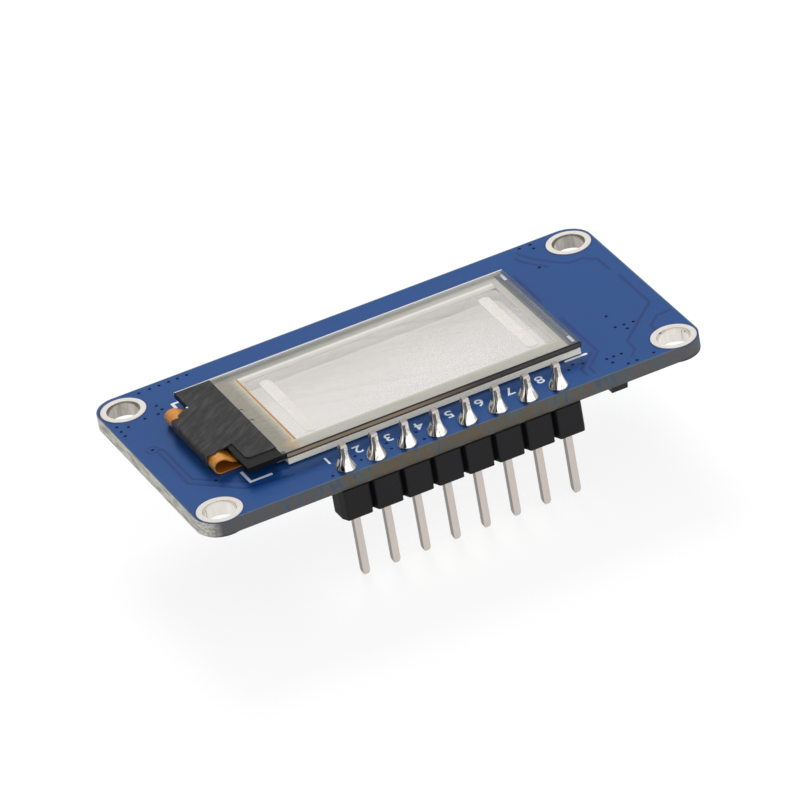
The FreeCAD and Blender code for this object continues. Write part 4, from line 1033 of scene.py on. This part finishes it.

# Black tape
# Matt black masking tape over the ledge, with a flap pressed down round the cable's fold. A thin
# black blocking film lies under it, two threads stick to its edge, and a white fleck sits beside it.

TAPE_LOW, TAPE_HIGH = box_of("shade_tape")
TAPE_BEND, TAPE_CORNER = -16.65, 0.4
FLAP_BEND, FLAP_REACH, FLAP_THICKNESS = 0.14, FOLD_RADIUS + 0.11, 0.1
FLAP_FRONT, FLAP_REAR, FLAP_DROP = -3.45, 3.05, [(0, 0.4), (-0.02, 0.6), (-0.06, 0.76)]
TAPE_REST = [
    (-12.6, -5.7), (-12.6, 6.6), (-15.5, 6.6), (-15.5, 4.2),
    (TAPE_BEND, 3.43), (TAPE_BEND, -3.33), (-15.05, -3.0),
]
THREADS = [
    [(-12.65, 1.2), (-12.4, 1.15), (-12.3, 1.0)],
    [(-12.65, -0.7), (-12.4, -0.72), (-12.25, -0.9)],
]
THREAD_WIDTH, THREAD_LIFT = 0.04, 0.002
LEDGE_FILM = (-15.44, -6.79, TAPE_LOW[2]), (-12.62, 6.6, TAPE_LOW[2] + 0.012)
FLECK_PLACE, FLECK_RADIUS, FLECK_HEIGHT = (-15.62, 4.02), 0.09, 0.015

# Masking tape: matt charcoal, scuffed, with a faint diagonal sheen painted into its tint where it was
# rubbed down smoother.
tape_finish, tree, place, surface = new_finish("matt_black_tape")
rubbed = add(tree, "Mapping", {"Vector": place, "Rotation": (0, 0, np.radians(-35))})
painted_sheen_way = add(tree, "Mapping", {"Vector": rubbed, "Scale": (1 / 6, 1, 1)})
painted_sheen, tint = mottled(tree, painted_sheen_way, 0.5, "#1C1C1D", "#393939")
lint = add(tree, "TexNoise", {"Vector": place, "Scale": 1 / (0.08 * MM), "Detail": 4})
scuff_way = add(tree, "Mapping", {"Vector": rubbed, "Scale": (1 / 4, 1, 1)})
scuffs = add(tree, "TexNoise", {"Vector": scuff_way, "Scale": 1 / (0.3 * MM), "Detail": 3})
scuffs = add(tree, "MapRange", {0: scuffs, 1: 0.45, 2: 0.75, 4: 0.4})
tint = add(tree, "Mix", {0: scuffs, 6: tint, 7: "#5A5A59"}, data_type="RGBA")
weave = add(tree, "Bump", {"Height": lint, "Distance": 0.01 * MM, "Strength": 0.5})
rough = add(tree, "MapRange", {0: painted_sheen, 3: 0.62, 4: 0.5})
gloss = {"Base Color": tint, "Roughness": rough, "IOR": 1.5, "Normal": weave}
add(tree, "BsdfPrincipled", gloss, to=surface)

# The blocking film on the whole ledge is smoother, with a thin black sheen.
film_gloss = {"Roughness": 0.45, "IOR": 1.5, "Specular IOR Level": 0.3}
film_finish = plain_finish("black_blocking_film", 0.5, "#141415", "#202021", film_gloss)

tape_corner = np.array((-14.65, -5.3)) + TAPE_CORNER * arc(180, 270, 5)
flat_tape = plate(np.vstack([tape_corner, TAPE_REST]), TAPE_LOW[2], TAPE_HIGH[2])
crease_centre = np.array(FOLD_CENTRE) + (FLAP_BEND - FLAP_REACH, FLAP_REACH - FLAP_BEND)
crease = crease_centre + FLAP_BEND * arc(90, 180, 9)
wrap = np.vstack([[(TAPE_BEND + 0.1, crease[0, 1])], crease, crease[-1:] - FLAP_DROP])
flap = strap(wrap, FLAP_THICKNESS, FLAP_FRONT, FLAP_REAR)
threads = [
    plate(line_outline(line, THREAD_WIDTH), TAPE_LOW[2] + THREAD_LIFT, TAPE_LOW[2] + THREAD_WIDTH)
    for line in THREADS
]
fleck_section = [(FLECK_RADIUS, TAPE_HIGH[2]), (FLECK_RADIUS, TAPE_HIGH[2] + FLECK_HEIGHT)]
fleck = turned(fleck_section, FLECK_PLACE, 12)
tape_shapes = [(shape, tape_finish) for shape in (flat_tape, flap, *threads)]
tape_shapes += [(block(*LEDGE_FILM, 0.02, 2), film_finish), (fleck, dab_finish)]
piece("black_tape", tape_shapes, ["shade_tape"], smooth=40)

# Floor, light and camera
# The module stands on its pin tips on a plain white floor, under one broad soft lamp from the rear
# right. The pale surround is dimmer at the left, brighter at the right and low down on the camera's
# side, and one dark gap in it draws the dark stripe in the shiny solder.

FLOOR_REACH = 3.0
LAMP_DISTANCE, LAMP_DIRECTION = 0.5, np.array([0.22, 0.75, 0.62])

floor_mesh = bpy.data.meshes.new("floor")
floor_outline = rounded_box((-FLOOR_REACH, -FLOOR_REACH), (FLOOR_REACH, FLOOR_REACH), 0)
floor_mesh.from_pydata([(x, y, PIN_LOW * MM) for x, y in floor_outline], [], [(0, 1, 2, 3)])
floor = bpy.data.objects.new("floor", floor_mesh)
bpy.context.scene.collection.objects.link(floor)

# The floor glows white where the camera, a mirror or the glass sees it, and is white card to the rest.
floor_finish, tree, place, surface = new_finish("white_table")
path = add(tree, "LightPath").outputs
seen = add(tree, "Math", {0: path["Is Camera Ray"], 1: path["Is Glossy Ray"]}, operation="MAXIMUM")
seen = add(tree, "Math", {0: seen, 1: path["Is Transmission Ray"]}, operation="MAXIMUM")
plain = add(tree, "BsdfDiffuse", {"Color": "#EDEDED"})
faint = add(tree, "BsdfDiffuse", {"Color": "#707070"})
glow = add(tree, "Emission", {"Color": "#FFFFFF", "Strength": 0.85})
bright = add(tree, "AddShader", {0: faint, 1: glow})
add(tree, "MixShader", {0: seen, 1: plain, 2: bright}, to=surface)
floor_mesh.materials.append(floor_finish)

lamp_data = bpy.data.lights.new("soft_lamp", "AREA")
lamp_data.shape = "DISK"
lamp_data.size = 0.2
lamp_data.energy = 2.0
lamp = bpy.data.objects.new("soft_lamp", lamp_data)
bpy.context.scene.collection.objects.link(lamp)
lamp.location = (LAMP_DISTANCE * LAMP_DIRECTION / np.linalg.norm(LAMP_DIRECTION)).tolist()
lamp.rotation_euler = lamp.location.to_track_quat("Z", "Y").to_euler()
lamp.visible_glossy = False
lamp.visible_transmission = False

world = bpy.data.worlds.new("pale_surround")
bpy.context.scene.world = world
world.use_nodes = True
tree = world.node_tree
tree.nodes.clear()
outwards = add(tree, "TexCoord").outputs["Generated"]
part = add(tree, "SeparateXYZ", {0: outwards})
soft_step = {"interpolation_type": "SMOOTHSTEP"}
overhead = add(tree, "MapRange", {0: part.outputs["Z"], 1: 0.45, 2: 0.95, 3: 0.42, 4: 0.72}, **soft_step)
leftward = add(tree, "MapRange", {0: part.outputs["X"], 1: -0.3, 2: -0.8, 4: -0.25}, **soft_step)
rightward = add(tree, "MapRange", {0: part.outputs["X"], 1: 0.45, 2: 0.85, 4: 0.2}, **soft_step)
around = add(tree, "VectorMath", {0: outwards, 1: (1.0, 1.0, 0.0)}, operation="MULTIPLY")
around = add(tree, "VectorMath", {0: around}, operation="NORMALIZE")
near_side = add(tree, "VectorMath", {0: around, 1: (-0.343, -0.939, 0.0)}, operation="DOT_PRODUCT")
near_side = add(tree, "MapRange", {0: near_side, 1: 0.1, 2: 0.6}, **soft_step)
low_down = add(tree, "MapRange", {0: part.outputs["Z"], 1: 0.8, 2: 0.4, 4: 1.1}, **soft_step)
frontward = add(tree, "Math", {0: near_side, 1: low_down}, operation="MULTIPLY")
dark_side = add(tree, "VectorMath", {0: around, 1: (-0.766, -0.643, 0.0)}, operation="DOT_PRODUCT")
dark_gap = add(tree, "MapRange", {0: dark_side, 1: 0.95, 2: 0.98, 3: 1.0, 4: 0.02}, **soft_step)
level = overhead
for more in (leftward, rightward, frontward):
    level = add(tree, "Math", {0: level, 1: more}, operation="ADD")
level = add(tree, "Math", {0: level, 1: dark_gap}, operation="MULTIPLY")
soft = add(tree, "Background", {"Color": "#FFFFFF", "Strength": level})
white = add(tree, "Background", {"Color": "#FFFFFF", "Strength": 1.0})
camera_ray = add(tree, "LightPath").outputs["Is Camera Ray"]
world_surface = add(tree, "OutputWorld").inputs["Surface"]
add(tree, "MixShader", {0: camera_ray, 1: soft, 2: white}, to=world_surface)

camera_data = bpy.data.cameras.new("camera")
camera_data.sensor_width = 36
camera_data.lens = 362.65
camera_data.clip_start = 0.02
camera = bpy.data.objects.new("camera", camera_data)
bpy.context.scene.collection.objects.link(camera)
camera.location = (-0.18035, -0.493497, 0.308098)
camera.rotation_euler = np.radians((59.1113, 8.8961, -25.3409)).tolist()
bpy.context.scene.camera = camera
bpy.context.scene.view_settings.view_transform = "Standard"

bpy.context.view_layer.update()
